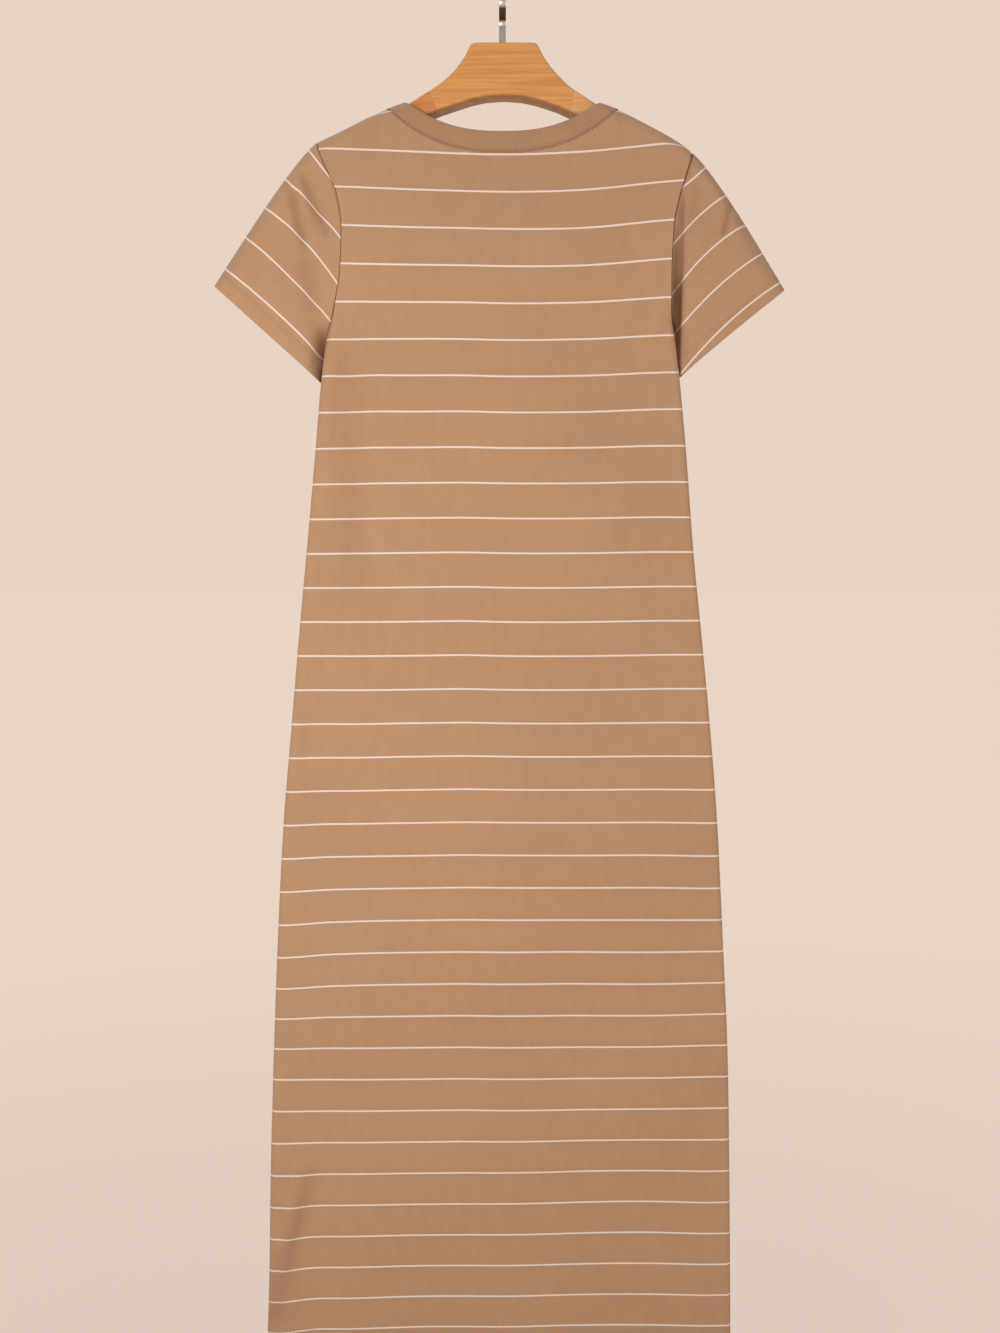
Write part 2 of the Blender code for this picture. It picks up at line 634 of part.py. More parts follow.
def make_sleeve(name, sleeve, back_folds, front_folds):
    seam = armhole_ring(sleeve.sign)
    backs = [point for point, _, side in seam if side == BACK]
    fronts = [backs[-1]] + [point for point, _, side in seam if side == FRONT] + [backs[0]]
    shares = shares_along(backs) + [1 - share for share in shares_along(fronts)[1:-1]]
    along = Vector((sleeve.tip_x - backs[-1].x, 0, sleeve.tip_z - backs[-1].z)).normalized()
    outwards = Vector((-along.z, 0, along.x)) * sleeve.sign
    starts = []
    for (point, _, _), share in zip(seam, shares):
        gap = SLEEVE_START + UNDERARM_START * (1 - smooth(share / UNDERARM_SHARE))
        starts.append(point + Vector((sleeve.sign * gap, 0, 0)))
    outer = []
    for ring in range(SLEEVE_RINGS + 2):
        row = []
        for start, (_, _, side), share in zip(starts, seam, shares):
            end = cuff_point(sleeve, share, side)
            t = sleeve_stop(ring, start, end)
            point = start.lerp(end, t)
            point += outwards * SLEEVE_BULGE * math.sin(math.pi * t) * smooth(share) ** 2
            calm = smooth(min(share, 1 - share) / FOLD_CALM) * smooth(t / SEAM_CALM)
            folds = back_folds if side == BACK else front_folds
            point.y -= side * fold_depth(folds, point.x, point.z) * calm
            row.append(point)
        outer.append(row)
    inner = inner_rings(outer)
    for place, (start, (point, under, _)) in enumerate(zip(starts, seam)):
        outside = start.x + sleeve.sign * abs(under.x - point.x)
        inner[0][place] = Vector((outside, under.y, under.z))
    return make_wall(name, outer, inner, JERSEY, ring=True)


def inner_rings(outer):
    """The inner surface of a tube given by rings, thicker from its hem to its open end."""
    count = len(outer[0])
    inner = []
    for i, row in enumerate(outer):
        thickness = HEM_CLOTH if i > SLEEVE_RINGS - 1 else CLOTH
        before = outer[max(i - 1, 0)]
        after = outer[min(i + 1, len(outer) - 1)]
        line = []
        for j, point in enumerate(row):
            across = row[(j + 1) % count] - row[j - 1]
            line.append(across.cross(after[j] - before[j]).normalized() * thickness)
        inner.append(line)
    middle = sum(outer[2], Vector()) / count
    leaning = sum((point - middle).dot(step) for point, step in zip(outer[2], inner[2]))
    turn = -1 if leaning > 0 else 1
    return [[p + step * turn for p, step in zip(row, line)] for row, line in zip(outer, inner)]


def band_top_z(side, x):
    """Height of the neckband's inner edge."""
    lowest = (BACK_NECK_Z if side == BACK else FRONT_NECK_Z) + BAND_WIDTH
    power = BACK_NECK_POWER if side == BACK else FRONT_NECK_POWER
    share = min(abs(x) / BAND_RIDGE_HALF, 1.0)
    return mix(lowest, RIDGE[sign_of(x)](BAND_RIDGE_HALF), share**power)


def make_neckband():
    """A closed ring, up the back from the left ridge point and home along the front."""
    fractions = [-share for share in NECK_SHARES[::-1]] + [0.0] + list(NECK_SHARES)
    stations = [(BACK, f) for f in fractions] + [(FRONT, f) for f in fractions[-2:0:-1]]
    rings = []
    for side, fraction in stations:
        on_ridge = abs(fraction) > 0.9999
        seam_x = fraction * (NECK_HALF - SEAM_GAP)
        seam_z = neckline_z(side, fraction * NECK_HALF) + BAND_LIFT
        edge_x = fraction * BAND_RIDGE_HALF
        edge_z = band_top_z(side, edge_x)
        outer = []
        inner = []
        for share in (0.0, 0.5, 1.0):
            x = mix(seam_x, edge_x, share)
            z = mix(seam_z, edge_z, share)
            if on_ridge:
                z = ridge_z(x)
                outer.append(Vector((x, axis_y(x, z), z)))
                inner.append(Vector((x, axis_y(x, z), z - BAND_CLOTH)))
            else:
                outer.append(Vector((x, body_y(side, x, z, 0.0), z)))
                inner.append(Vector((x, body_y(side, x, z, BAND_CLOTH), z)))
        up = (outer[2] - outer[1]).normalized()
        crest = (outer[2] + inner[2]) / 2 + up * BAND_CLOTH / 2
        rings.append(outer + [crest] + inner[::-1])
    size = len(rings[0])
    count = len(rings)
    points = [p for ring in rings for p in ring]
    faces = []
    for i in range(count):
        for j in range(size):
            a = i * size
            b = (i + 1) % count * size
            k = (j + 1) % size
            faces.append((a + j, a + k, b + k, b + j))
    return make_node("neckband", points, faces, RIB)


# ---- The hanger --------------------------------------------------------------------------------
def rounded_ring(x, y, z_low, z_high, half_depth, top_edge, low_edge):
    """A section across the hanger: a rectangle with its corners rounded."""
    ring = []
    for turn, side, level, edge in (
        (0, 1, z_high, top_edge),
        (1, -1, z_high, top_edge),
        (2, -1, z_low, low_edge),
        (3, 1, z_low, low_edge),
    ):
        middle_y = side * (half_depth - edge)
        middle_z = level - edge if level == z_high else level + edge
        for k in range(CORNER_SEGMENTS + 1):
            angle = math.pi / 2 * (turn + k / CORNER_SEGMENTS)
            corner_y = middle_y + edge * math.cos(angle)
            ring.append(Vector((x, y + corner_y, middle_z + edge * math.sin(angle))))
    return ring


def make_hanger_block():
    rings = []
    for sign in (-1, 1):
        rows = HANGER_BLOCK[::-1] if sign < 0 else HANGER_BLOCK[1:]
        for row in rows:
            ends = (row.low_z, row.top_z, HANGER_HALF_DEPTH, HANGER_EDGE, HANGER_EDGE)
            rings.append(rounded_ring(sign * row.out + row.shift, 0, *ends))
    return make_loft("hanger_block", rings, WOOD, 50)


def arm_top_z(out):
    """Top of an arm: the block's edge carried on, and then just under the cloth."""
    joint = HANGER_BLOCK[-1].top_z
    band = BAND_RIDGE_HALF - ARM_LEVEL
    under = ridge_z(max(out, band)) - cover(out)
    if out >= band:
        return under
    return mix(joint, under, (out - HANGER_JOINT_X) / (band - HANGER_JOINT_X))


def make_hanger_arm(name, sign):
    rings = []
    for out in ARM_STATIONS:
        height = mix(HANGER_ARM_HEIGHT_JOINT, HANGER_ARM_HEIGHT_TIP, arm_share(out))
        half_depth = arm_half_depth(out)
        edge = arm_edge(out)
        low_edge = mix(HANGER_EDGE, HANGER_LOW_EDGE, smooth(arm_share(out) / ARM_EDGE_SHARE))
        top = arm_top_z(out)
        middle = top - height / 2
        if out > ARM_ROUND_X:
            rounding = (out - ARM_ROUND_X) / (HANGER_TIP_X - ARM_ROUND_X)
            shrink = mix(ARM_TIP_SHARE, 1, math.sqrt(1 - rounding**2))
            height *= shrink
            half_depth *= shrink
            edge *= shrink
            low_edge *= shrink
        ends = (middle - height / 2, middle + height / 2, half_depth, edge, low_edge)
        rings.append(rounded_ring(sign * out, wood_line(out), *ends))
    return make_loft(name, rings, WOOD, 50)


# ---- The hook ----------------------------------------------------------------------------------
def rounded_corner(before, corner, after, reach):
    """Points of a soft bend in place of a corner, reach from it along both sides."""
    start = corner + (before - corner).normalized() * reach
    end = corner + (after - corner).normalized() * reach
    points = []
    for k in range(BEND_STEPS + 1):
        t = k / BEND_STEPS
        points.append(start * (1 - t) ** 2 + corner * 2 * t * (1 - t) + end * t**2)
    return points


def hook_line():
    """The middle of the strip in the plane across the hanger, as (y, z)."""
    radius = HOOK_INNER_RADIUS + HOOK_THICKNESS / 2
    foot = Vector((0, HANGER_TOP_Z + SEAM_GAP))
    jog_low = Vector((0, HOOK_JOG_LOW_Z))
    jog_high = Vector((-radius, HOOK_JOG_HIGH_Z))
    arc_start = Vector((-radius, -HOOK_INNER_RADIUS))
    line = [foot]
    line += rounded_corner(foot, jog_low, jog_high, HOOK_BEND)
    line += rounded_corner(jog_low, jog_high, arc_start, HOOK_BEND)
    for k in range(HOOK_STEPS + 1):
        angle = math.radians(mix(180, HOOK_TIP_ANGLE, k / HOOK_STEPS))
        line.append(Vector((radius * math.cos(angle), radius * math.sin(angle) - HOOK_INNER_RADIUS)))
    end = line[-1]
    line.append(end + Vector((0.25, -1.0)).normalized() * HOOK_TIP_LENGTH)
    return line


def make_hook():
    line = hook_line()
    rings = []
    half = HOOK_WIDTH / 2
    for i, point in enumerate(line):
        before = line[max(i - 1, 0)]
        after = line[min(i + 1, len(line) - 1)]
        along = (after - before).normalized()
        across = Vector((-along.y, along.x)) * HOOK_THICKNESS / 2
        ring = []
        for x, turn in ((-half, -1), (half, -1), (half, 1), (-half, 1)):
            edge = point + across * turn
            ring.append(Vector((x, edge.x, edge.y)))
        rings.append(ring)
    return make_loft("hook", rings, STEEL, 35)


def main():
    for item in list(bpy.data.objects):
        bpy.data.objects.remove(item, do_unlink=True)
    make_panel("back_panel", BACK)
    make_panel("front_panel", FRONT)
    make_sleeve("sleeve_left", LEFT_SLEEVE, LEFT_SLEEVE_BACK_FOLDS, LEFT_SLEEVE_FRONT_FOLDS)
    make_sleeve("sleeve_right", RIGHT_SLEEVE, RIGHT_SLEEVE_BACK_FOLDS, RIGHT_SLEEVE_FRONT_FOLDS)
    make_neckband()
    make_hanger_block()
    make_hanger_arm("hanger_arm_left", -1)
    make_hanger_arm("hanger_arm_right", 1)
    make_hook()


main()
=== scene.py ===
"""A jersey T-shirt dress on a wooden hanger: the looks of every piece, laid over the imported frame.

Metres, +Z up. The origin is the inside top of the hook's bend. -Y is the back of the dress, with
the shallow neckline, and +Y its front. +X is to the right of someone who looks at the back. The
body is worked out from nearly the same sections, shoulder line and hanger as its solids, with
finer folds.
"""

from __future__ import annotations

import logging
import math
from collections.abc import Sequence
from dataclasses import dataclass, field
from enum import Enum, IntEnum
from typing import NamedTuple

import bmesh
import bpy
import numpy as np
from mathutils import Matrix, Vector

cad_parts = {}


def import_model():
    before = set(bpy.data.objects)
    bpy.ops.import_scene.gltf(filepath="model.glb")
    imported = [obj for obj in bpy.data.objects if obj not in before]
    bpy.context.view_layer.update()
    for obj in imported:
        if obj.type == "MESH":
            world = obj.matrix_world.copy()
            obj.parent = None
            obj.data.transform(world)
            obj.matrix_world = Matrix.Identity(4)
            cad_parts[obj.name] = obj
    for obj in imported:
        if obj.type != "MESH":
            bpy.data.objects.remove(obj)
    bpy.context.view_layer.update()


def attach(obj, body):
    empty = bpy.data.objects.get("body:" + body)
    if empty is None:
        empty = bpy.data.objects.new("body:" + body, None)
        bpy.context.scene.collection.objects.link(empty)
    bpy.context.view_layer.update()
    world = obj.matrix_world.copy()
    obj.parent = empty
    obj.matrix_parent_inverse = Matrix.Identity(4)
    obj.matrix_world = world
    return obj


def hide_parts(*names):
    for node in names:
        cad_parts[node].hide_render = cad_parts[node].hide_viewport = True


LOG = logging.getLogger("t_shirt_dress")
Array = np.ndarray
Number = float | Array
Faces = list[tuple[int, ...]]
Piece = bpy.types.Object
Material = bpy.types.Material
Colour = tuple[float, float, float]
Place = tuple[float, float, float]
QUARTER_TURN = math.pi / 2
MILLIMETRES = 1000  # in a metre
CLOTH_SHARP = 60.0  # angles in degrees from which a piece's edges are shaded sharp
WOOD_SHARP = 35.0
STEEL_SHARP = 45.0
CORNERS = ((0, 1, 1), (1, -1, 1), (2, -1, -1), (3, 1, -1))  # quarter turns, way across, way up


class Side(IntEnum):
    """The two sides of the dress, as the way in Y that each faces."""

    BACK = -1
    FRONT = 1


class Hand(IntEnum):
    """The two ends of the shoulders, as someone who looks at the back sees them."""

    LEFT = -1
    RIGHT = 1


# ---- Small numeric tools -------------------------------------------------------------------------
class Curve:
    """A smooth line through points in rising order, flat beyond its ends, with no overshoot."""

    def __init__(self, places: Sequence[float], values: Sequence[float]) -> None:
        """Works out the slopes.

        Args:
            places: Where the points lie, in rising order.
            values: The line's value at each of them.
        """
        self.places = np.array(places, dtype=float)
        self.values = np.array(values, dtype=float)
        rises = np.diff(self.values) / np.diff(self.places)
        slopes = [rises[0]]
        for before, after in zip(rises, rises[1:]):
            turns = before * after <= 0
            slopes.append(0.0 if turns else 2 * before * after / (before + after))
        slopes.append(rises[-1])
        self.slopes = np.array(slopes)

    def __call__(self, place: Number) -> Array:
        """The line's value at each place."""
        place = np.clip(place, self.places[0], self.places[-1])
        last = len(self.places) - 2
        i = np.clip(np.searchsorted(self.places, place, side="right") - 1, 0, last)
        step = self.places[i + 1] - self.places[i]
        t = (place - self.places[i]) / step
        start, end = self.slopes[i] * step, self.slopes[i + 1] * step
        return bridged(self.values[i], self.values[i + 1], start, end, t)


def bridged(low: Number, high: Number, start: Number, end: Number, t: Number) -> Array:
    """A cubic's value at t, from low at 0 to high at 1, with the slopes start and end there."""
    rise = high - low
    return low + t * (start + t * (3 * rise - 2 * start - end + t * (start + end - 2 * rise)))


def table_curve(rows: Sequence[tuple], name: str, per: float = 1.0) -> Curve:
    """A table's named column over its first one. per of its units make one of the curve's."""
    return Curve([row[0] for row in rows], [getattr(row, name) / per for row in rows])


def smooth(value: Number) -> Array:
    """0 up to 0, 1 from 1, and an S-shaped step between."""
    value = np.clip(value, 0.0, 1.0)
    return value * value * (3 - 2 * value)


def mix(a: Number, b: Number, share: Number) -> Array:
    """The value that lies the given share of the way from a to b."""
    return a + (b - a) * share


def crowded(share: Number, power: float = 2.0) -> Array:
    """Even shares, drawn together towards 1."""
    return 1 - (1 - share) ** power


def unit(vectors: Array) -> Array:
    """Each vector at length 1."""
    return vectors / np.maximum(np.linalg.norm(vectors, axis=-1, keepdims=True), 1e-12)


def turned_in(distance: Number, radius: float) -> Array:
    """The sink of a rounded edge: its radius at the edge itself, and nothing past the rounding."""
    near = np.clip(radius - distance, 0.0, radius)
    return radius - np.sqrt(radius**2 - near**2)


def grid_normals(points: Array, ring: bool = False) -> Array:
    """Unit normals of a grid of points.

    Args:
        points: Rows and columns of points.
        ring: True if each row closes on itself.

    Returns:
        The cross product of the way along a row and the way up a column, at every point.
    """
    if ring:
        along = np.roll(points, -1, axis=1) - np.roll(points, 1, axis=1)
    else:
        along = np.gradient(points, axis=1)
    return unit(np.cross(along, np.gradient(points, axis=0)))


def resampled(points: Array, count: int) -> Array:
    """A line of points, spaced evenly again.

    Args:
        points: The line's points, one to a row.
        count: How many points the new line has.

    Returns:
        The new line's points.
    """
    steps = np.linalg.norm(np.diff(points, axis=0), axis=1)
    lengths = np.concatenate([[0.0], np.cumsum(steps)])
    places = np.linspace(0.0, lengths[-1], count)
    return np.stack([np.interp(places, lengths, points[:, k]) for k in range(3)], axis=1)


# ---- The garment's form --------------------------------------------------------------------------
class Section(NamedTuple):
    """One height of the body. left and right run from the middle to the side seam or armhole, axis
    is the seams' place in Y, mid the cloth's depth from it in the middle, and edge the depth beyond
    its roll just inside the seam."""

    z: float
    left: float
    right: float
    axis: float
    back_mid: float
    back_edge: float
    front_mid: float
    front_edge: float


SECTIONS = (
    Section(-1.412, 0.2494, 0.2420, 0.0060, 0.0110, 0.0000, 0.0085, 0.0000),
    Section(-1.330, 0.2463, 0.2408, 0.0058, 0.0112, 0.0000, 0.0086, 0.0000),
    Section(-1.232, 0.2440, 0.2390, 0.0056, 0.0115, 0.0000, 0.0088, 0.0000),
    Section(-1.102, 0.2393, 0.2358, 0.0052, 0.0122, 0.0000, 0.0092, 0.0000),
    Section(-0.974, 0.2335, 0.2292, 0.0046, 0.0132, 0.0000, 0.0098, 0.0000),
    Section(-0.848, 0.2259, 0.2218, 0.0040, 0.0143, 0.0000, 0.0104, 0.0000),
    Section(-0.754, 0.2172, 0.2138, 0.0034, 0.0152, 0.0000, 0.0110, 0.0000),
    Section(-0.661, 0.2086, 0.2042, 0.0028, 0.0162, 0.0000, 0.0116, 0.0000),
    Section(-0.569, 0.1993, 0.1944, 0.0021, 0.0172, 0.0000, 0.0122, 0.0000),
    Section(-0.478, 0.1904, 0.1868, 0.0012, 0.0183, 0.0000, 0.0130, 0.0000),
    Section(-0.402, 0.1832, 0.1793, 0.0002, 0.0192, 0.0000, 0.0140, 0.0000),
    Section(-0.362, 0.1777, 0.1744, -0.0006, 0.0198, 0.0000, 0.0146, 0.0000),
    Section(-0.330, 0.1690, 0.1690, -0.0018, 0.0203, 0.0045, 0.0152, 0.0040),
    Section(-0.290, 0.1612, 0.1680, -0.0036, 0.0210, 0.0105, 0.0160, 0.0090),
    Section(-0.250, 0.1590, 0.1690, -0.0054, 0.0216, 0.0140, 0.0166, 0.0125),
    Section(-0.220, 0.1630, 0.1746, -0.0068, 0.0220, 0.0150, 0.0170, 0.0140),
    Section(-0.195, 0.1732, 0.1822, -0.0078, 0.0220, 0.0150, 0.0172, 0.0150),
    Section(-0.178, 0.1802, 0.1868, -0.0080, 0.0220, 0.0150, 0.0172, 0.0150),
    Section(-0.167, 0.1830, 0.1870, -0.0080, 0.0220, 0.0150, 0.0172, 0.0150),
)


class Shoulder(NamedTuple):
    """Height of the shoulder's ridge at a distance from the middle, on each hand."""

    out: float
    left_z: float
    right_z: float


SHOULDERS = (
    Shoulder(0.0985, -0.1264, -0.1266),
    Shoulder(0.1145, -0.1330, -0.1334),
    Shoulder(0.1350, -0.1424, -0.1440),
    Shoulder(0.1550, -0.1531, -0.1550),
    Shoulder(0.1720, -0.1616, -0.1650),
    Shoulder(0.1830, -0.1668, -0.1726),
    Shoulder(0.1870, -0.1690, -0.1768),
)


class Fold(NamedTuple):
    """A soft fold along a line seen from the back. depth is how far the cloth sinks along its
    middle, below zero where it stands out, and width half its breadth."""

    x_top: float
    z_top: float
    x_low: float
    z_low: float
    depth: float
    width: float


BACK_FOLDS = (
    Fold(-0.158, -0.330, -0.150, -0.640, 0.0050, 0.016),
    Fold(-0.128, -0.350, -0.122, -0.600, -0.0022, 0.018),
    Fold(-0.176, -0.620, -0.190, -1.150, 0.0028, 0.020),
    Fold(-0.202, -1.185, -0.257, -1.416, -0.0032, 0.012),
    Fold(0.150, -0.420, 0.168, -0.800, 0.0020, 0.020),
    Fold(0.060, -0.900, 0.085, -1.330, 0.0014, 0.030),
)
FRONT_FOLDS = (
    Fold(0.140, -0.340, 0.150, -0.700, 0.0038, 0.018),
    Fold(-0.150, -0.350, -0.165, -0.560, 0.0030, 0.016),
    Fold(-0.060, -0.260, -0.130, -0.390, 0.0024, 0.020),
    Fold(0.175, -0.850, 0.200, -1.260, 0.0026, 0.020),
    Fold(-0.120, -1.000, -0.150, -1.380, 0.0020, 0.024),
)


FOLD_ENDS = (0.25, 0.33)  # parts of a fold's length over which it starts and ends
CREASE_ENDS = (0.30, 0.12)  # the same for a crease


def beside_line(
    line: Fold | CreaseShade, ends: tuple[float, float], x: Number, z: Number
) -> tuple[Array, Array]:
    """Where places lie beside the line of a fold or crease.

    Args:
        line: The fold or crease.
        ends: Parts of its length over which it starts and ends.
        x: Places across.
        z: Heights.

    Returns:
        How far each lies to the right of the line, and how strong the line is beside it.
    """
    dx = line.x_low - line.x_top
    dz = line.z_low - line.z_top
    length = math.hypot(dx, dz)
    share = ((x - line.x_top) * dx + (z - line.z_top) * dz) / length**2
    across = ((z - line.z_top) * dx - (x - line.x_top) * dz) / length
    return across, smooth(share / ends[0]) * smooth((1 - share) / ends[1])


def fold_sink(folds: Sequence[Fold], x: Number, z: Number) -> Array:
    """How far the soft folds sink the cloth.

    Args:
        folds: The folds of this part of the dress.
        x: Places across.
        z: Heights.

    Returns:
        The sink at each place.
    """
    total = np.zeros(np.broadcast(x, z).shape)
    for fold in folds:
        across, ends = beside_line(fold, FOLD_ENDS, x, z)
        total = total + fold.depth * ends * np.exp(-((across / fold.width) ** 2))
    return total


class CreaseShade(NamedTuple):
    """Shade painted on the cloth along a line, as in a crease, seen from the back. left and right
    are how far the painted shade spreads to either side, and shade how deep it is, up to 1."""

    x_top: float
    z_top: float
    x_low: float
    z_low: float
    left: float
    right: float
    shade: float


BACK_CREASE_SHADES = (
    CreaseShade(-0.1560, -0.310, -0.1500, -0.640, 0.012, 0.010, 0.10),
    CreaseShade(-0.1960, -1.190, -0.2440, -1.395, 0.008, 0.009, 0.22),
    CreaseShade(-0.2080, -1.356, -0.2310, -1.386, 0.004, 0.004, 0.12),
)


def crease_shade(crease_shades: Sequence[CreaseShade], x: Number, z: Number) -> Array:
    """How deep the creases' painted shade is.

    Args:
        crease_shades: The painted crease shades of this part of the dress.
        x: Places across.
        z: Heights.

    Returns:
        The painted shade at each place, from 0 to 1.
    """
    total = np.zeros(np.broadcast(x, z).shape)
    for crease in crease_shades:
        across, ends = beside_line(crease, CREASE_ENDS, x, z)
        spread = np.where(across < 0, crease.left, crease.right)
        total = np.maximum(total, crease.shade * ends * np.exp(-((across / spread) ** 2)))
    return total


@dataclass(frozen=True)
class Jersey:
    """Thicknesses of the cloth and how its hems and seams are turned."""

    wall: float = 0.0011
    hem_wall: float = 0.0022
    band_wall: float = 0.0026
    hem_depth: float = 0.0225
    hem_step: float = 0.0010
    seam_turn: float = 0.0009
    stitch_low: float = 0.0190  # the twin stitch of a hem, above its edge
    stitch_high: float = 0.0214
    hem_rows: tuple[float, ...] = (0.0025, 0.0060, 0.0100, 0.0145)  # between fold and stitch
    beyond_turn: float = 1.6  # the first row past a rounded edge, in widths of the rounding
    neck_stitch: float = 0.0018  # the neck's stitch, below its seam
    neck_near: float = 0.75  # the row between it and the seam, as a share of its distance
    # the shade of the seams is painted into the cloth's colour
    neck_shade: float = 0.15  # how deep the shade in the neck's seam is
    shade_reach: float = 0.0020  # how far out of a seam its shade reaches

    def painted_seam_shade(self, distance: Number, shade: float) -> Array:
        """The painted shade at a distance from a seam."""
        return shade * (1 - smooth(distance / self.shade_reach))

    def seam_steps(self) -> Array:
        """Distances from a seam at which its rounded edge has points."""
        return np.array([0.0, 0.12, 0.35, 0.65, 1.0]) * self.seam_turn

    def fold_steps(self) -> Array:
        """Distances from a hem's edge at which its rounded fold has points."""
        return np.array([0.0, 0.06, 0.25, 0.55, 1.0]) * self.hem_wall / 2

    def hem_inset(self, distance: Number) -> Array:
        """Thickness of the wall at a distance from a hem's edge."""
        extra = smooth((self.hem_depth + self.hem_step - distance) / self.hem_step)
        return mix(self.wall, self.hem_wall, extra)


@dataclass(frozen=True)
class HangerForm:
    """The main lines of the wooden hanger, which the cloth lies on."""

    half_depth: float = 0.0135
    tip_half_depth: float = 0.0165
    joint_x: float = 0.0720
    tip_x: float = 0.1885
    edge: float = 0.0025
    arm_edge: float = 0.0100
    edge_share: float = 0.25
    sweep: float = 0.008
    clearance: float = 0.0015

    def share(self, out: Number) -> Array:
        """How far along an arm a place lies."""
        return np.clip((out - self.joint_x) / (self.tip_x - self.joint_x), 0.0, 1.0)

    def depth_at(self, out: Number) -> Array:
        """Half depth of the wood."""
        return mix(self.half_depth, self.tip_half_depth, smooth(self.share(out)))

    def edge_at(self, out: Number) -> Array:
        """Rounding of the wood's top edges."""
        return mix(self.edge, self.arm_edge, smooth(self.share(out) / self.edge_share))

    def line_at(self, out: Number) -> Array:
        """Where the middle of the wood lies in Y."""
        return -self.sweep * smooth(self.share(out))


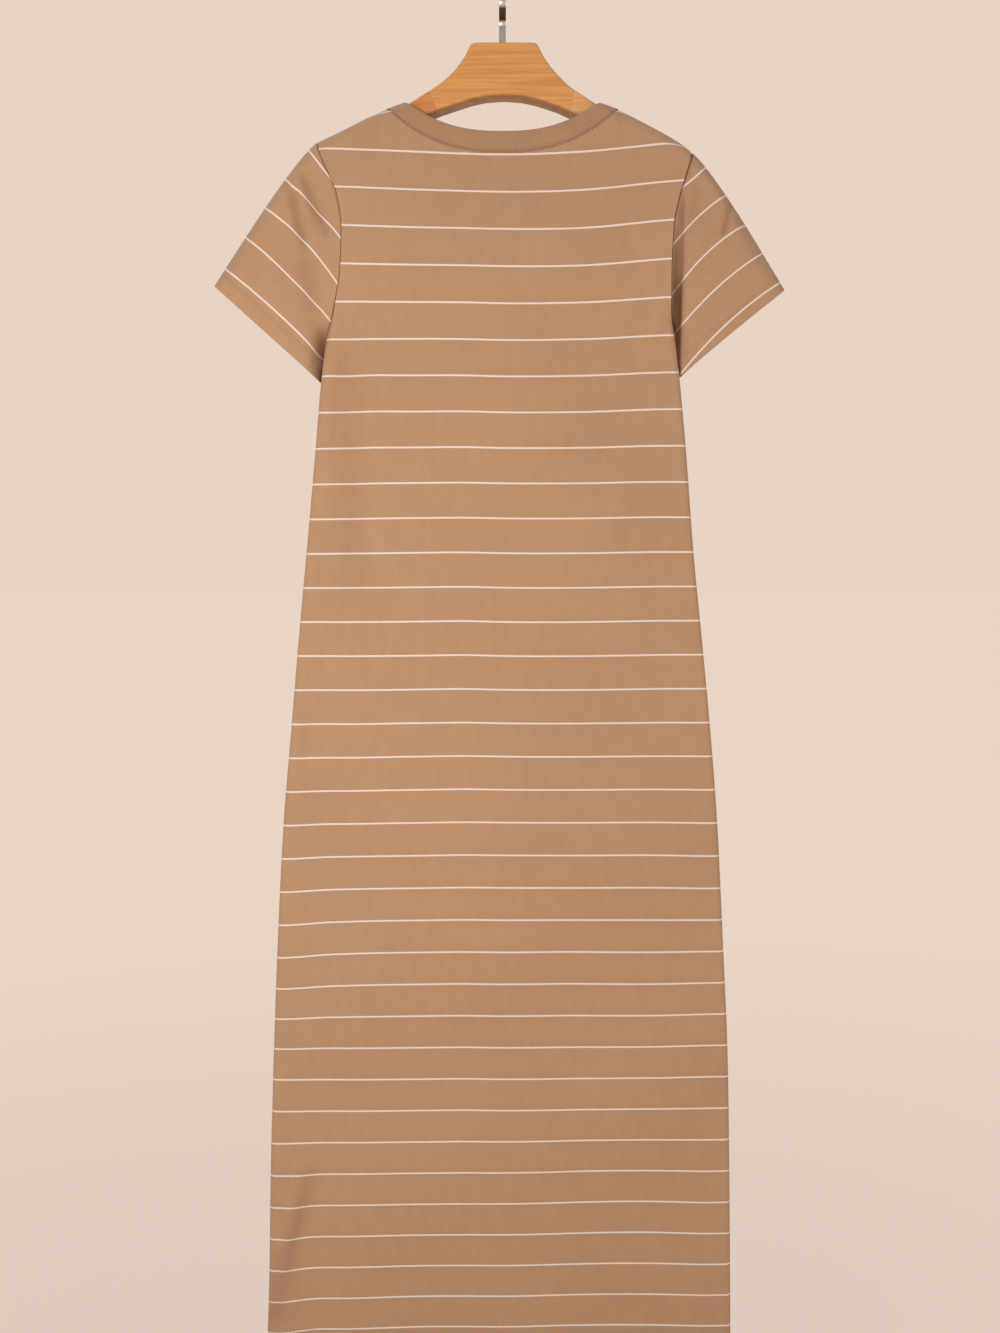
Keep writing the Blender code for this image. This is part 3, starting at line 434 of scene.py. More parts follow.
@dataclass
class BodyForm:
    """The outer surface of the hanging body, as a height over the plane of its seams."""

    hanger: HangerForm = field(default_factory=HangerForm)
    hem_z: float = -1.412
    underarm_z: float = -0.362
    edge_radius: float = 0.006
    fold_fade: float = 0.010
    arm_turn: float = 0.050
    shoulder_spread: float = 0.060
    hang_from_z: float = -0.300
    hang_to_z: float = -0.180
    front_scoop: float = 0.006
    neck_half: float = 0.1145
    neck_rise: float = 0.42
    back_neck_z: float = -0.1768
    front_neck_z: float = -0.2340
    back_power: float = 2.5
    front_power: float = 2.3
    band_width: float = 0.0178
    band_ridge_half: float = 0.0985
    cloth_over: float = 0.0016
    band_over: float = 0.0026
    cover_change: float = 0.006
    long_ripple: float = 0.00075
    short_ripple: float = 0.00028
    ripple_top_z: float = -0.30
    ripple_grows: float = 0.30  # height over which the ripples reach their full depth

    def __post_init__(self) -> None:
        """Makes the curves of the tables."""
        self.section = {name: table_curve(SECTIONS, name) for name in Section._fields[1:]}
        self.ridge = {hand: table_curve(SHOULDERS, f"{hand.name.lower()}_z") for hand in Hand}
        self.strip = self.edge_radius * QUARTER_TURN
        self.top_z = SECTIONS[-1].z

    def ridge_z(self, x: Number) -> Array:
        """Height of the shoulder's ridge, carried on inwards over the neck opening."""
        out = np.abs(x)
        first = SHOULDERS[0].out
        start = self.shoulder_z(x, np.maximum(out, first))
        return start + np.maximum(first - out, 0.0) * self.neck_rise

    def shoulder_z(self, x: Number, out: Number) -> Array:
        """Height of the ridge at a distance from the middle, on the hand of x."""
        return np.where(np.asarray(x) < 0, self.ridge[Hand.LEFT](out), self.ridge[Hand.RIGHT](out))

    def cover(self, x: Number) -> Array:
        """From the wood to the outer surface of the cloth over it."""
        cloth = smooth((np.abs(x) - self.neck_half) / self.cover_change)
        return self.hanger.clearance + mix(self.band_over, self.cloth_over, cloth)

    def turn(self, x: Number) -> Array:
        """Height over which the cloth turns over the hanger."""
        return self.hanger.edge_at(np.abs(x)) + self.cover(x)

    def reach(self, x: Number) -> Array:
        """Half depth of the cloth where it has turned over the hanger."""
        return self.hanger.depth_at(np.abs(x)) + self.cover(x)

    def turn_angle(self, x: Number, below: Number) -> Array:
        """Angle from straight up, at the hanger, of the place a height below the ridge."""
        return np.arccos(1 - np.clip(below / self.turn(x), 0.0, 1.0))

    def turn_length(self, x: Number) -> Array:
        """Length of the quarter turn over the hanger, along the cloth."""
        return QUARTER_TURN * np.sqrt((self.turn(x) ** 2 + self.reach(x) ** 2) / 2)

    def laid_z(self, x: Number, z: Number) -> Array:
        """Height that a place would have with the turn over the hanger laid flat."""
        below = np.maximum(self.ridge_z(x) - z, 0.0)
        turn = self.turn(x)
        turned = self.turn_length(x) * (1 - self.turn_angle(x, below) / QUARTER_TURN)
        return np.where(below < turn, self.ridge_z(x) - turn + turned, z)

    def outline(self, side: Side, x: Number, z: Number) -> Array:
        """Distance from the middle to the side seam or armhole, on the hand of x."""
        edge = np.where(np.asarray(x) < 0, self.section["left"](z), self.section["right"](z))
        if side is Side.FRONT:
            span = np.clip((z - self.underarm_z) / (self.top_z - self.underarm_z), 0.0, 1.0)
            edge = edge - self.front_scoop * np.sin(math.pi * span) ** 2
        return edge

    def axis_y(self, x: Number, z: Number) -> Array:
        """The plane between the two panels, which follows the hanger at the shoulders."""
        hung = smooth((z - self.hang_from_z) / (self.hang_to_z - self.hang_from_z))
        return mix(self.section["axis"](z), self.hanger.line_at(np.abs(x)), hung)

    def ripple(self, side: Side, x: Number, z: Number) -> Array:
        """Slight unevenness of the hanging cloth, none of it close to the shoulders."""
        long_waves = np.sin(23 * x + 2.1 * z + 0.7 * side) * np.sin(3.3 * z + 1.1 + 5 * x)
        short_waves = np.sin(61 * x - 4.0 * z + side) * np.sin(7.3 * z + 0.4)
        depth = self.long_ripple * long_waves + self.short_ripple * short_waves
        return depth * smooth((self.ripple_top_z - z) / self.ripple_grows)

    def body_y(self, side: Side, x: Number, z: Number, below: Number | None = None) -> Array:
        """Y of the outer surface.

        Args:
            side: Which panel.
            x: Places across.
            z: Heights.
            below: How far each lies below the ridge, where its column fixes that.

        Returns:
            The surface's Y at each place.
        """
        name = side.name.lower()
        flat = self.outline(side, x, z) - self.strip
        out = np.abs(x)
        edge = self.edge_radius + self.section[name + "_edge"](z)
        crown = self.section[name + "_mid"](z) - edge
        depth = edge + crown * np.cos(QUARTER_TURN * np.minimum(out / flat, 1.0)) ** 2
        folds = BACK_FOLDS if side is Side.BACK else FRONT_FOLDS
        sunk = fold_sink(folds, x, z) + self.ripple(side, x, z)
        depth = depth - sunk * smooth((flat - out) / self.fold_fade)
        if below is None:
            below = np.maximum(self.ridge_z(x) - z, 0.0)
        reach = self.reach(x)
        lying = reach * np.sin(self.turn_angle(x, below))
        depth = lying + (depth - reach) * smooth(below / self.shoulder_spread)
        return self.axis_y(x, z) + side * depth

    def neckline_z(self, side: Side, x: Number) -> Array:
        """Height of the neck seam."""
        lowest, power = self.neck_of(side)
        return self.neck_curve(x, lowest, power, self.neck_half)

    def band_top_z(self, side: Side, x: Number) -> Array:
        """Height of the neckband's inner edge."""
        lowest, power = self.neck_of(side)
        return self.neck_curve(x, lowest + self.band_width, power, self.band_ridge_half)

    def neck_of(self, side: Side) -> tuple[float, float]:
        """Lowest height of a neck seam, and how square it is."""
        if side is Side.BACK:
            return self.back_neck_z, self.back_power
        return self.front_neck_z, self.front_power

    def neck_curve(self, x: Number, lowest: float, power: float, half: float) -> Array:
        """Height of a neckline, from lowest in its middle out to the ridge at half."""
        return mix(lowest, self.shoulder_z(x, half), np.minimum(np.abs(x) / half, 1.0) ** power)


class StripeLie(NamedTuple):
    """How far the stripes stand above level at one height, in millimetres, at eight places across."""

    z: float
    left_edge: float
    left_far: float
    left: float
    left_mid: float
    left_in: float
    right_mid: float
    right: float
    right_far: float


STRIPE_LIES = (
    StripeLie(-1.380, -8.6, -5.0, -4.1, -0.6, -0.1, 1.2, 0.0, -1.0),
    StripeLie(-1.250, -5.8, -4.0, -3.1, -1.0, 0.0, 0.9, 1.1, -0.2),
    StripeLie(-1.120, -2.6, -2.4, -2.0, -0.4, 0.6, -0.3, 0.0, 0.6),
    StripeLie(-0.990, -7.6, -6.2, -3.2, -0.4, 0.4, -0.4, -1.2, -0.8),
    StripeLie(-0.900, -5.8, -4.8, -2.9, -0.6, 0.3, -0.7, -1.1, -2.1),
    StripeLie(-0.780, -3.1, -2.8, -2.2, -0.1, 0.6, -0.6, -0.5, -0.8),
    StripeLie(-0.650, -0.6, -0.6, -0.6, 0.3, 0.9, -0.3, 0.6, 0.8),
    StripeLie(-0.520, -1.3, -1.0, -0.4, 0.5, 0.7, 0.1, 1.6, 1.2),
    StripeLie(-0.430, -0.8, 0.0, 1.3, 1.2, 1.1, 0.8, 4.0, 4.2),
    StripeLie(-0.350, 1.6, 2.0, 2.6, 2.0, 1.2, 1.7, 6.4, 7.6),
    StripeLie(-0.270, 4.6, 4.2, 3.5, 1.6, 0.9, 1.0, 7.6, 10.0),
    StripeLie(-0.180, 5.0, 4.8, 4.4, 2.6, 0.9, 2.9, 9.5, 12.0),
)


class Stripes:
    """Where the fine stripes run: a count that is whole in the middle of each stripe."""

    first_z = -0.1807
    last_pitch = 0.03332
    more_pitch = 0.00306
    over_first = 0.0045  # how much wider the yoke's topmost pitch is
    above = 2  # stripes above the first
    count = 36
    places = (-0.225, -0.200, -0.160, -0.080, -0.040, 0.000, 0.080, 0.160, 0.200)
    beyond = 0.010  # how far past its end places the table is carried on

    def __init__(self, form: BodyForm) -> None:
        """Adds the stripes up from the first one down, and two more above it.

        Args:
            form: The body that they lie on.
        """
        self.form = form
        top_pitch = self.last_pitch + self.more_pitch + self.over_first
        heights = [self.first_z + k * top_pitch for k in range(self.above, -1, -1)]
        for k in range(self.count):
            pitch = self.last_pitch + self.more_pitch * (1 - k / self.count) ** 2
            heights.append(heights[-1] - pitch)
        numbers = np.arange(len(heights)) - self.above
        self.number = Curve(heights[::-1], numbers[::-1])
        self.lifts = [table_curve(STRIPE_LIES, name, MILLIMETRES) for name in StripeLie._fields[1:]]
        level = Curve((STRIPE_LIES[0].z, STRIPE_LIES[-1].z), (0.0, 0.0))
        self.lifts.insert(self.places.index(0.0), level)

    def lift(self, x: Array, z: Array) -> Array:
        """How far the stripes stand above level.

        Args:
            x: Places across.
            z: Heights.

        Returns:
            The lift at each place, on a smooth line through the places of the table.
        """
        places = np.array(self.places)
        values = np.array([curve(z) for curve in self.lifts])
        slopes = np.gradient(values, places, axis=0)
        x = np.clip(x, places[0] - self.beyond, places[-1] + self.beyond)
        i = np.clip(np.searchsorted(places, x, side="right") - 1, 0, len(places) - 2)
        low, high, rise_low, rise_high = (
            np.take_along_axis(part, index[None], axis=0)[0]
            for part, index in ((values, i), (values, i + 1), (slopes, i), (slopes, i + 1))
        )
        step = places[i + 1] - places[i]
        return bridged(low, high, rise_low * step, rise_high * step, (x - places[i]) / step)

    def on_body(self, x: Array, z: Array) -> Array:
        """The stripes' count on a panel, where x is given with the rolled edges laid flat."""
        return self.number(self.form.laid_z(x, z) - self.lift(x, z))


# ---- Making meshes ---------------------------------------------------------------------------------
def make_piece(name: str, points: Array, faces: Faces, sharp: float) -> Piece:
    """A closed mesh object with its faces pointing out.

    Args:
        name: The piece's name.
        points: Its points, one to a row.
        faces: The corners of each face.
        sharp: Angle in degrees from which an edge is shaded sharp.

    Returns:
        The new object, at the origin.
    """
    mesh = bpy.data.meshes.new(name)
    mesh.from_pydata(points.tolist(), [], faces)
    work = bmesh.new()
    work.from_mesh(mesh)
    bmesh.ops.recalc_face_normals(work, faces=work.faces)
    if work.calc_volume(signed=True) < 0:
        bmesh.ops.reverse_faces(work, faces=work.faces)
    work.to_mesh(mesh)
    work.free()
    mesh.shade_smooth()
    mesh.set_sharp_from_angle(angle=math.radians(sharp))
    piece = bpy.data.objects.new(name, mesh)
    bpy.context.scene.collection.objects.link(piece)
    return piece


def grid_faces(rows: int, columns: int, row_ring: bool, column_ring: bool, shift: int = 0) -> Faces:
    """The faces between a grid's points.

    Args:
        rows: How many rows it has.
        columns: How many columns.
        row_ring: True if each row closes on itself.
        column_ring: True if each column closes on itself.
        shift: Number of the grid's first point.

    Returns:
        One quad for each cell.
    """
    i, j = np.meshgrid(
        np.arange(rows if column_ring else rows - 1),
        np.arange(columns if row_ring else columns - 1),
        indexing="ij",
    )
    up = (i + 1) % rows
    on = (j + 1) % columns
    quads = np.stack([i * columns + j, i * columns + on, up * columns + on, up * columns + j], axis=-1)
    return [tuple(quad) for quad in (quads.reshape(-1, 4) + shift).tolist()]


def capped_tube(name: str, rings: Sequence, sharp: float) -> Piece:
    """A tube through rings of points, closed by a face at each end.

    Args:
        name: The piece's name.
        rings: The rings, all with the same number of points.
        sharp: Angle in degrees from which an edge is shaded sharp.

    Returns:
        The piece.
    """
    grid = np.array(rings)
    count, size = grid.shape[:2]
    faces = grid_faces(count, size, True, False)
    faces.append(tuple(range(size)))
    faces.append(tuple(range((count - 1) * size, count * size)))
    return make_piece(name, grid.reshape(-1, 3), faces, sharp)


def add_weave(piece: Piece, weave: Array) -> None:
    """Writes every point's place across and along its cloth in metres, and its stripes' count."""
    layer = piece.data.attributes.new("weave", "FLOAT_VECTOR", "POINT")
    layer.data.foreach_set("vector", np.ascontiguousarray(weave, dtype=np.float32).ravel())


def add_painted_shade(piece: Piece, painted_shade: Array) -> None:
    """Writes how deep the painted shade is at every point, from 0 to 1: in creases and seams, on the
    wood's underside and on the hook's jog.
    """
    layer = piece.data.attributes.new("painted_shade", "FLOAT", "POINT")
    layer.data.foreach_set("value", np.ascontiguousarray(painted_shade, dtype=np.float32).ravel())


@dataclass
class Sheeting:
    """A stretch of cloth as a grid: its outer surface, how far its outer and inner faces sink from
    that, where each point lies on the cloth, and its painted shade in creases and seams."""

    points: Array
    normals: Array
    outer_sink: Array
    inner_sink: Array
    weave: Array
    painted_shade: Array
    ring: bool = False

    def outer(self) -> Array:
        """The outer face's points."""
        return self.points - self.normals * self.outer_sink[..., None]

    def shell(self, name: str) -> Piece:
        """The closed piece between its outer and inner face.

        Args:
            name: The piece's name.

        Returns:
            The piece, with its weave and painted shade.
        """
        rows, columns = self.points.shape[:2]
        outer = self.outer().reshape(-1, 3)
        inner = (self.points - self.normals * self.inner_sink[..., None]).reshape(-1, 3)
        shift = rows * columns
        faces = grid_faces(rows, columns, self.ring, False)
        faces += [face[::-1] for face in grid_faces(rows, columns, self.ring, False, shift)]
        last = columns if self.ring else columns - 1
        for i in (0, rows - 1):
            for j in range(last):
                a = i * columns + j
                b = i * columns + (j + 1) % columns
                faces.append((a, b, shift + b, shift + a))
        if not self.ring:
            for j in (0, columns - 1):
                for i in range(rows - 1):
                    a = i * columns + j
                    faces.append((a, a + columns, shift + a + columns, shift + a))
        piece = make_piece(name, np.concatenate([outer, inner]), faces, CLOTH_SHARP)
        weave = self.weave.reshape(-1, 3)
        add_weave(piece, np.concatenate([weave, weave]))
        painted_shade = self.painted_shade.ravel()
        add_painted_shade(piece, np.concatenate([painted_shade, painted_shade]))
        return piece


class StitchRun(NamedTuple):
    """A line that stitches follow, with the way out of the cloth at each point."""

    points: Array
    out: Array
    closed: bool


# ---- Shader nodes ----------------------------------------------------------------------------------
class Shade:
    """A value in a material, with arithmetic that makes the nodes."""

    def __init__(self, finish: FinishTree, socket: bpy.types.NodeSocket) -> None:
        """Wraps a socket of a finish's tree."""
        self.finish = finish
        self.socket = socket

    def math(self, operation: str, *others: Shade | float) -> Shade:
        """The result of a Math node with this value first and the others after it."""
        inputs = dict(enumerate((self, *others)))
        return self.finish.add("ShaderNodeMath", {"operation": operation}, inputs)

    def __add__(self, other: Shade | float) -> Shade:
        """Sum."""
        return self.math("ADD", other)

    def __sub__(self, other: Shade | float) -> Shade:
        """Difference."""
        return self.math("SUBTRACT", other)

    def __rsub__(self, other: float) -> Shade:
        """Difference from a number."""
        return (self * -1.0) + other

    def __mul__(self, other: Shade | float) -> Shade:
        """Product."""
        return self.math("MULTIPLY", other)

    def __pow__(self, other: float) -> Shade:
        """Power."""
        return self.math("POWER", other)

    def wave(self, length: float) -> Shade:
        """A sine wave of the given length over this value."""
        return (self * (2 * math.pi / length)).math("SINE")

    def step(self, low: float, high: float) -> Shade:
        """0 at low and 1 at high, with an S-shaped step between."""
        inputs = {"Value": self, "From Min": low, "From Max": high}
        return self.finish.add("ShaderNodeMapRange", {"interpolation_type": "SMOOTHSTEP"}, inputs)


class FinishTree:
    """A material and its node tree."""

    def __init__(self, name: str) -> None:
        """Starts a material with its own shader."""
        self.material = bpy.data.materials.new(name)
        self.material.use_nodes = True
        self.tree = self.material.node_tree
        self.shader = self.tree.nodes["Principled BSDF"]

    def add(
        self,
        kind: str,
        settings: dict[str, object] | None = None,
        inputs: dict[str | int, object] | None = None,
        output: int | str = 0,
    ) -> Shade:
        """Adds a node.

        Args:
            kind: Its type.
            settings: Its own properties.
            inputs: Its inputs, each a value or another node's result.
            output: Which of its outputs is wanted.

        Returns:
            That output.
        """
        node = self.tree.nodes.new(kind)
        for name, value in (settings or {}).items():
            setattr(node, name, value)
        for key, value in (inputs or {}).items():
            self.plug(node.inputs[key], value)
        return Shade(self, node.outputs[output])

    def plug(self, socket: bpy.types.NodeSocket, value: object) -> None:
        """Links a result to a socket, or sets the socket's own value."""
        if isinstance(value, Shade):
            self.tree.links.new(value.socket, socket)
        else:
            socket.default_value = value

    def dress(self, **values: object) -> None:
        """Sets the shader's inputs, given with underscores for the spaces in their names."""
        for name, value in values.items():
            self.plug(self.shader.inputs[name.replace("_", " ")], value)

    def place(self) -> Shade:
        """The place on the object, in metres."""
        return self.add("ShaderNodeTexCoord", output="Object")

    def weave(self) -> tuple[Shade, Shade, Shade]:
        """Across and along the cloth, and the stripes' count."""
        vector = self.add("ShaderNodeAttribute", {"attribute_name": "weave"}, output="Vector")
        return self.parts(vector)

    def painted_shade(self) -> Shade:
        """How deep the painted shade of a crease, seam, underside or jog is at the place."""
        return self.add("ShaderNodeAttribute", {"attribute_name": "painted_shade"}, output="Fac")

    def parts(self, vector: Shade) -> tuple[Shade, Shade, Shade]:
        """A vector's three numbers."""
        first = self.add("ShaderNodeSeparateXYZ", inputs={0: vector})
        return tuple(Shade(self, socket) for socket in first.socket.node.outputs)

    def joined(self, x: Shade | float, y: Shade | float, z: Shade | float) -> Shade:
        """A vector from three numbers."""
        return self.add("ShaderNodeCombineXYZ", inputs={0: x, 1: y, 2: z})

    def noise(self, at: Shade, scale: float, detail: float, roughness: float = 0.5) -> Shade:
        """Soft noise, about 0.5 in the mean, with detail finer layers as strong as roughness."""
        inputs = {"Vector": at, "Scale": scale, "Detail": detail, "Roughness": roughness}
        return self.add("ShaderNodeTexNoise", inputs=inputs)

    def blend(self, share: Shade | float, a: object, b: object, mode: str = "MIX") -> Shade:
        """Colour a, with the given share of colour b over it.

        Args:
            share: How much of b.
            a: The colour under it.
            b: The colour over it.
            mode: How they blend.

        Returns:
            The blended colour.
        """
        node = self.add("ShaderNodeMix", {"data_type": "RGBA", "blend_type": mode}).socket.node
        for index, value in ((0, share), (6, a), (7, b)):
            self.plug(node.inputs[index], (*value, 1.0) if isinstance(value, tuple) else value)
        return Shade(self, node.outputs[2])

    def bump(self, height: Shade, distance: float, strength: float) -> Shade:
        """The normal of a relief whose height 1 stands at the distance, in metres."""
        inputs = {"Height": height, "Distance": distance, "Strength": strength}
        return self.add("ShaderNodeBump", inputs=inputs)


@dataclass(frozen=True)
class JerseyFinish:
    """Cotton jersey, with or without fine stripes."""

    name: str
    ground: Colour
    shadow: Colour
    stripe: Colour = (0.76, 0.65, 0.58)
    # the darkest painted shade, in a crease or seam, leaves this much of a colour
    in_shade: Colour = (0.28, 0.17, 0.14)  # what is left of a colour in the deepest crease
    striped: bool = True
    stripe_half: float = 0.0240  # in stripes' pitches
    stripe_soft: float = 0.009
    wale: float = 0.0009
    course: float = 0.0007
    waver: float = 0.010  # how far the yarn's unevenness moves a stripe's edges
    relief_height: float = 0.00012
    relief_share: float = 0.28

    def material(self) -> Material:
        """The finish's material."""
        tree = FinishTree(self.name)
        across, along, count = tree.weave()
        cloth = tree.joined(across, along, 0.0)
        yarn = tree.noise(tree.joined(across * 2.4, along, 0.0), 520, 2, 0.6)
        heather = tree.noise(tree.joined(across, along * 0.35, 0.0), 90, 3, 0.6)
        broad = tree.noise(cloth, 7, 2)
        shade = (yarn * 0.45 + heather * 0.35 + broad * 0.20).step(0.36, 0.64)
        colour = tree.blend(shade, self.shadow, self.ground)
        if self.striped:
            uneven = (yarn - 0.5) * self.waver + (heather - 0.5) * self.waver
            distance = ((count + uneven + 0.5).math("FRACT") - 0.5).math("ABSOLUTE")
            low = self.stripe_half - self.stripe_soft
            high = self.stripe_half + self.stripe_soft
            line = 1.0 - distance.step(low, high)
            colour = tree.blend(line * (yarn * 0.10 + 0.90), colour, self.stripe)
        # painted shade in creases and along seams
        colour = tree.blend(tree.painted_shade(), colour, self.in_shade, "MULTIPLY")
        wales = across.wave(self.wale) * 0.5 + 0.5
        courses = (along + across.wave(self.wale) * 0.0001).wave(self.course) * 0.5 + 0.5
        relief = wales * 0.55 + courses * 0.25 + yarn * 0.35
        tree.dress(
            Base_Color=colour,
            Roughness=heather * 0.10 + 0.80,
            Normal=tree.bump(relief, self.relief_height, self.relief_share),
            Sheen_Weight=0.12,
            Sheen_Roughness=0.5,
            Specular_IOR_Level=0.25,
        )
        return tree.material


@dataclass(frozen=True)
class WoodFinish:
    """Pale wood under clear varnish, with its grain along X."""

    name: str
    pale: Colour
    dark: Colour
    shift: float = 0.0
    coat: float = 0.06
    # the painted shade of the underside leaves this much of a colour
    in_shade: Colour = (0.52, 0.49, 0.44)  # what is left of a colour on the underside
    fleck: float = 0.62  # brightness of a fleck, as a share of the dark grain's
    relief_height: float = 0.00008
    relief_share: float = 0.5

    def material(self) -> Material:
        """The finish's material."""
        tree = FinishTree(self.name)
        x, y, z = tree.parts(tree.place())
        z = z + self.shift
        bent = tree.noise(tree.joined(x * 4.0, y * 5.0, z * 12.0), 1.4, 2) * 0.006
        rings = tree.noise(tree.joined(x * 7.0, y * 60.0, (z + bent) * 230.0), 1.6, 4, 0.55)
        fibres = tree.noise(tree.joined(x * 22.0, y * 500.0, z * 900.0), 1.0, 3, 0.6)
        flecks = tree.noise(tree.joined(x * 60.0, y * 600.0, z * 1500.0), 1.0, 1).step(0.60, 0.72)
        grain = (rings * 0.65 + fibres * 0.35).step(0.36, 0.62)
        colour = tree.blend(grain, self.dark, self.pale)
        colour = tree.blend(flecks * 0.20, colour, tuple(self.fleck * c for c in self.dark))
        # painted shade on the underside
        colour = tree.blend(tree.painted_shade(), colour, self.in_shade, "MULTIPLY")
        tree.dress(
            Base_Color=colour,
            Roughness=0.56 - grain * 0.08,
            Normal=tree.bump(fibres * 0.6 + rings * 0.4, self.relief_height, self.relief_share),
            Specular_IOR_Level=0.25,
            Coat_Weight=self.coat,
            Coat_Roughness=0.22,
        )
        return tree.material


@dataclass(frozen=True)
class SteelFinish:
    """Bright plated steel, drawn lengthwise."""

    name: str = "plated steel"
    colour: Colour = (0.62, 0.60, 0.56)
    # the painted dark reflection on the hook's jog leaves this much of a colour
    in_shade: Colour = (0.20, 0.15, 0.14)  # what is left of a colour where the hook jogs

    def material(self) -> Material:
        """The finish's material."""
        tree = FinishTree(self.name)
        x, y, z = tree.parts(tree.place())
        drawn = tree.noise(tree.joined(x * 900.0, y * 30.0, z * 30.0), 1.0, 2)
        cloud = tree.noise(tree.joined(x, y, z), 160, 3)
        worn = tuple(0.72 * c for c in self.colour)
        colour = tree.blend(cloud.step(0.45, 0.75) * 0.5, self.colour, worn)
        tree.dress(
            # painted dark reflection on the jog
            Base_Color=tree.blend(tree.painted_shade(), colour, self.in_shade, "MULTIPLY"),
            Roughness=drawn * 0.14 + 0.16,
            Metallic=1.0,
            Normal=tree.bump(drawn, 0.00002, 0.4),
        )
        return tree.material


@dataclass(frozen=True)
class ThreadFinish:
    """Sewing thread."""

    name: str
    colour: Colour

    def material(self) -> Material:
        """The finish's material."""
        tree = FinishTree(self.name)
        twist = tree.noise(tree.place(), 2600, 1)
        dark = tuple(0.7 * c for c in self.colour)
        tree.dress(Base_Color=tree.blend(twist, dark, self.colour), Roughness=twist * 0.2 + 0.6)
        return tree.material


class Finishes:
    """Every finish of the object, made once."""

    def __init__(self) -> None:
        """Makes the materials."""
        ground, shadow = (0.448, 0.257, 0.142), (0.400, 0.228, 0.125)
        self.jersey = JerseyFinish("striped jersey", ground, shadow).material()
        ground, shadow = (0.400, 0.221, 0.122), (0.356, 0.195, 0.107)
        self.band = JerseyFinish("neckband jersey", ground, shadow, striped=False).material()
        pale, dark = (0.680, 0.312, 0.100), (0.540, 0.234, 0.070)
        self.wood = WoodFinish("beech block", pale, dark).material()
        # the arms are one beech: painted shade makes the left one darker, painted light the right one
        # lighter
        pale, dark = (0.620, 0.245, 0.072), (0.480, 0.180, 0.050)
        self.left_wood = WoodFinish("beech arm left painted dark", pale, dark, 0.31).material()
        pale, dark = (0.730, 0.372, 0.142), (0.590, 0.280, 0.095)
        self.right_wood = WoodFinish("beech arm right painted light", pale, dark, 0.77).material()
        self.steel = SteelFinish().material()
        self.hem_thread = ThreadFinish("hem thread", (0.400, 0.220, 0.122)).material()
        self.neck_thread = ThreadFinish("neck thread", (0.100, 0.042, 0.024)).material()


# ---- Stitches --------------------------------------------------------------------------------------
class StitchKind(Enum):
    """The two kinds of stitch, as pitch, length, width and height."""

    HEM = (0.0032, 0.0025, 0.0007, 0.0005)
    NECK = (0.0029, 0.0009, 0.0021, 0.0010)


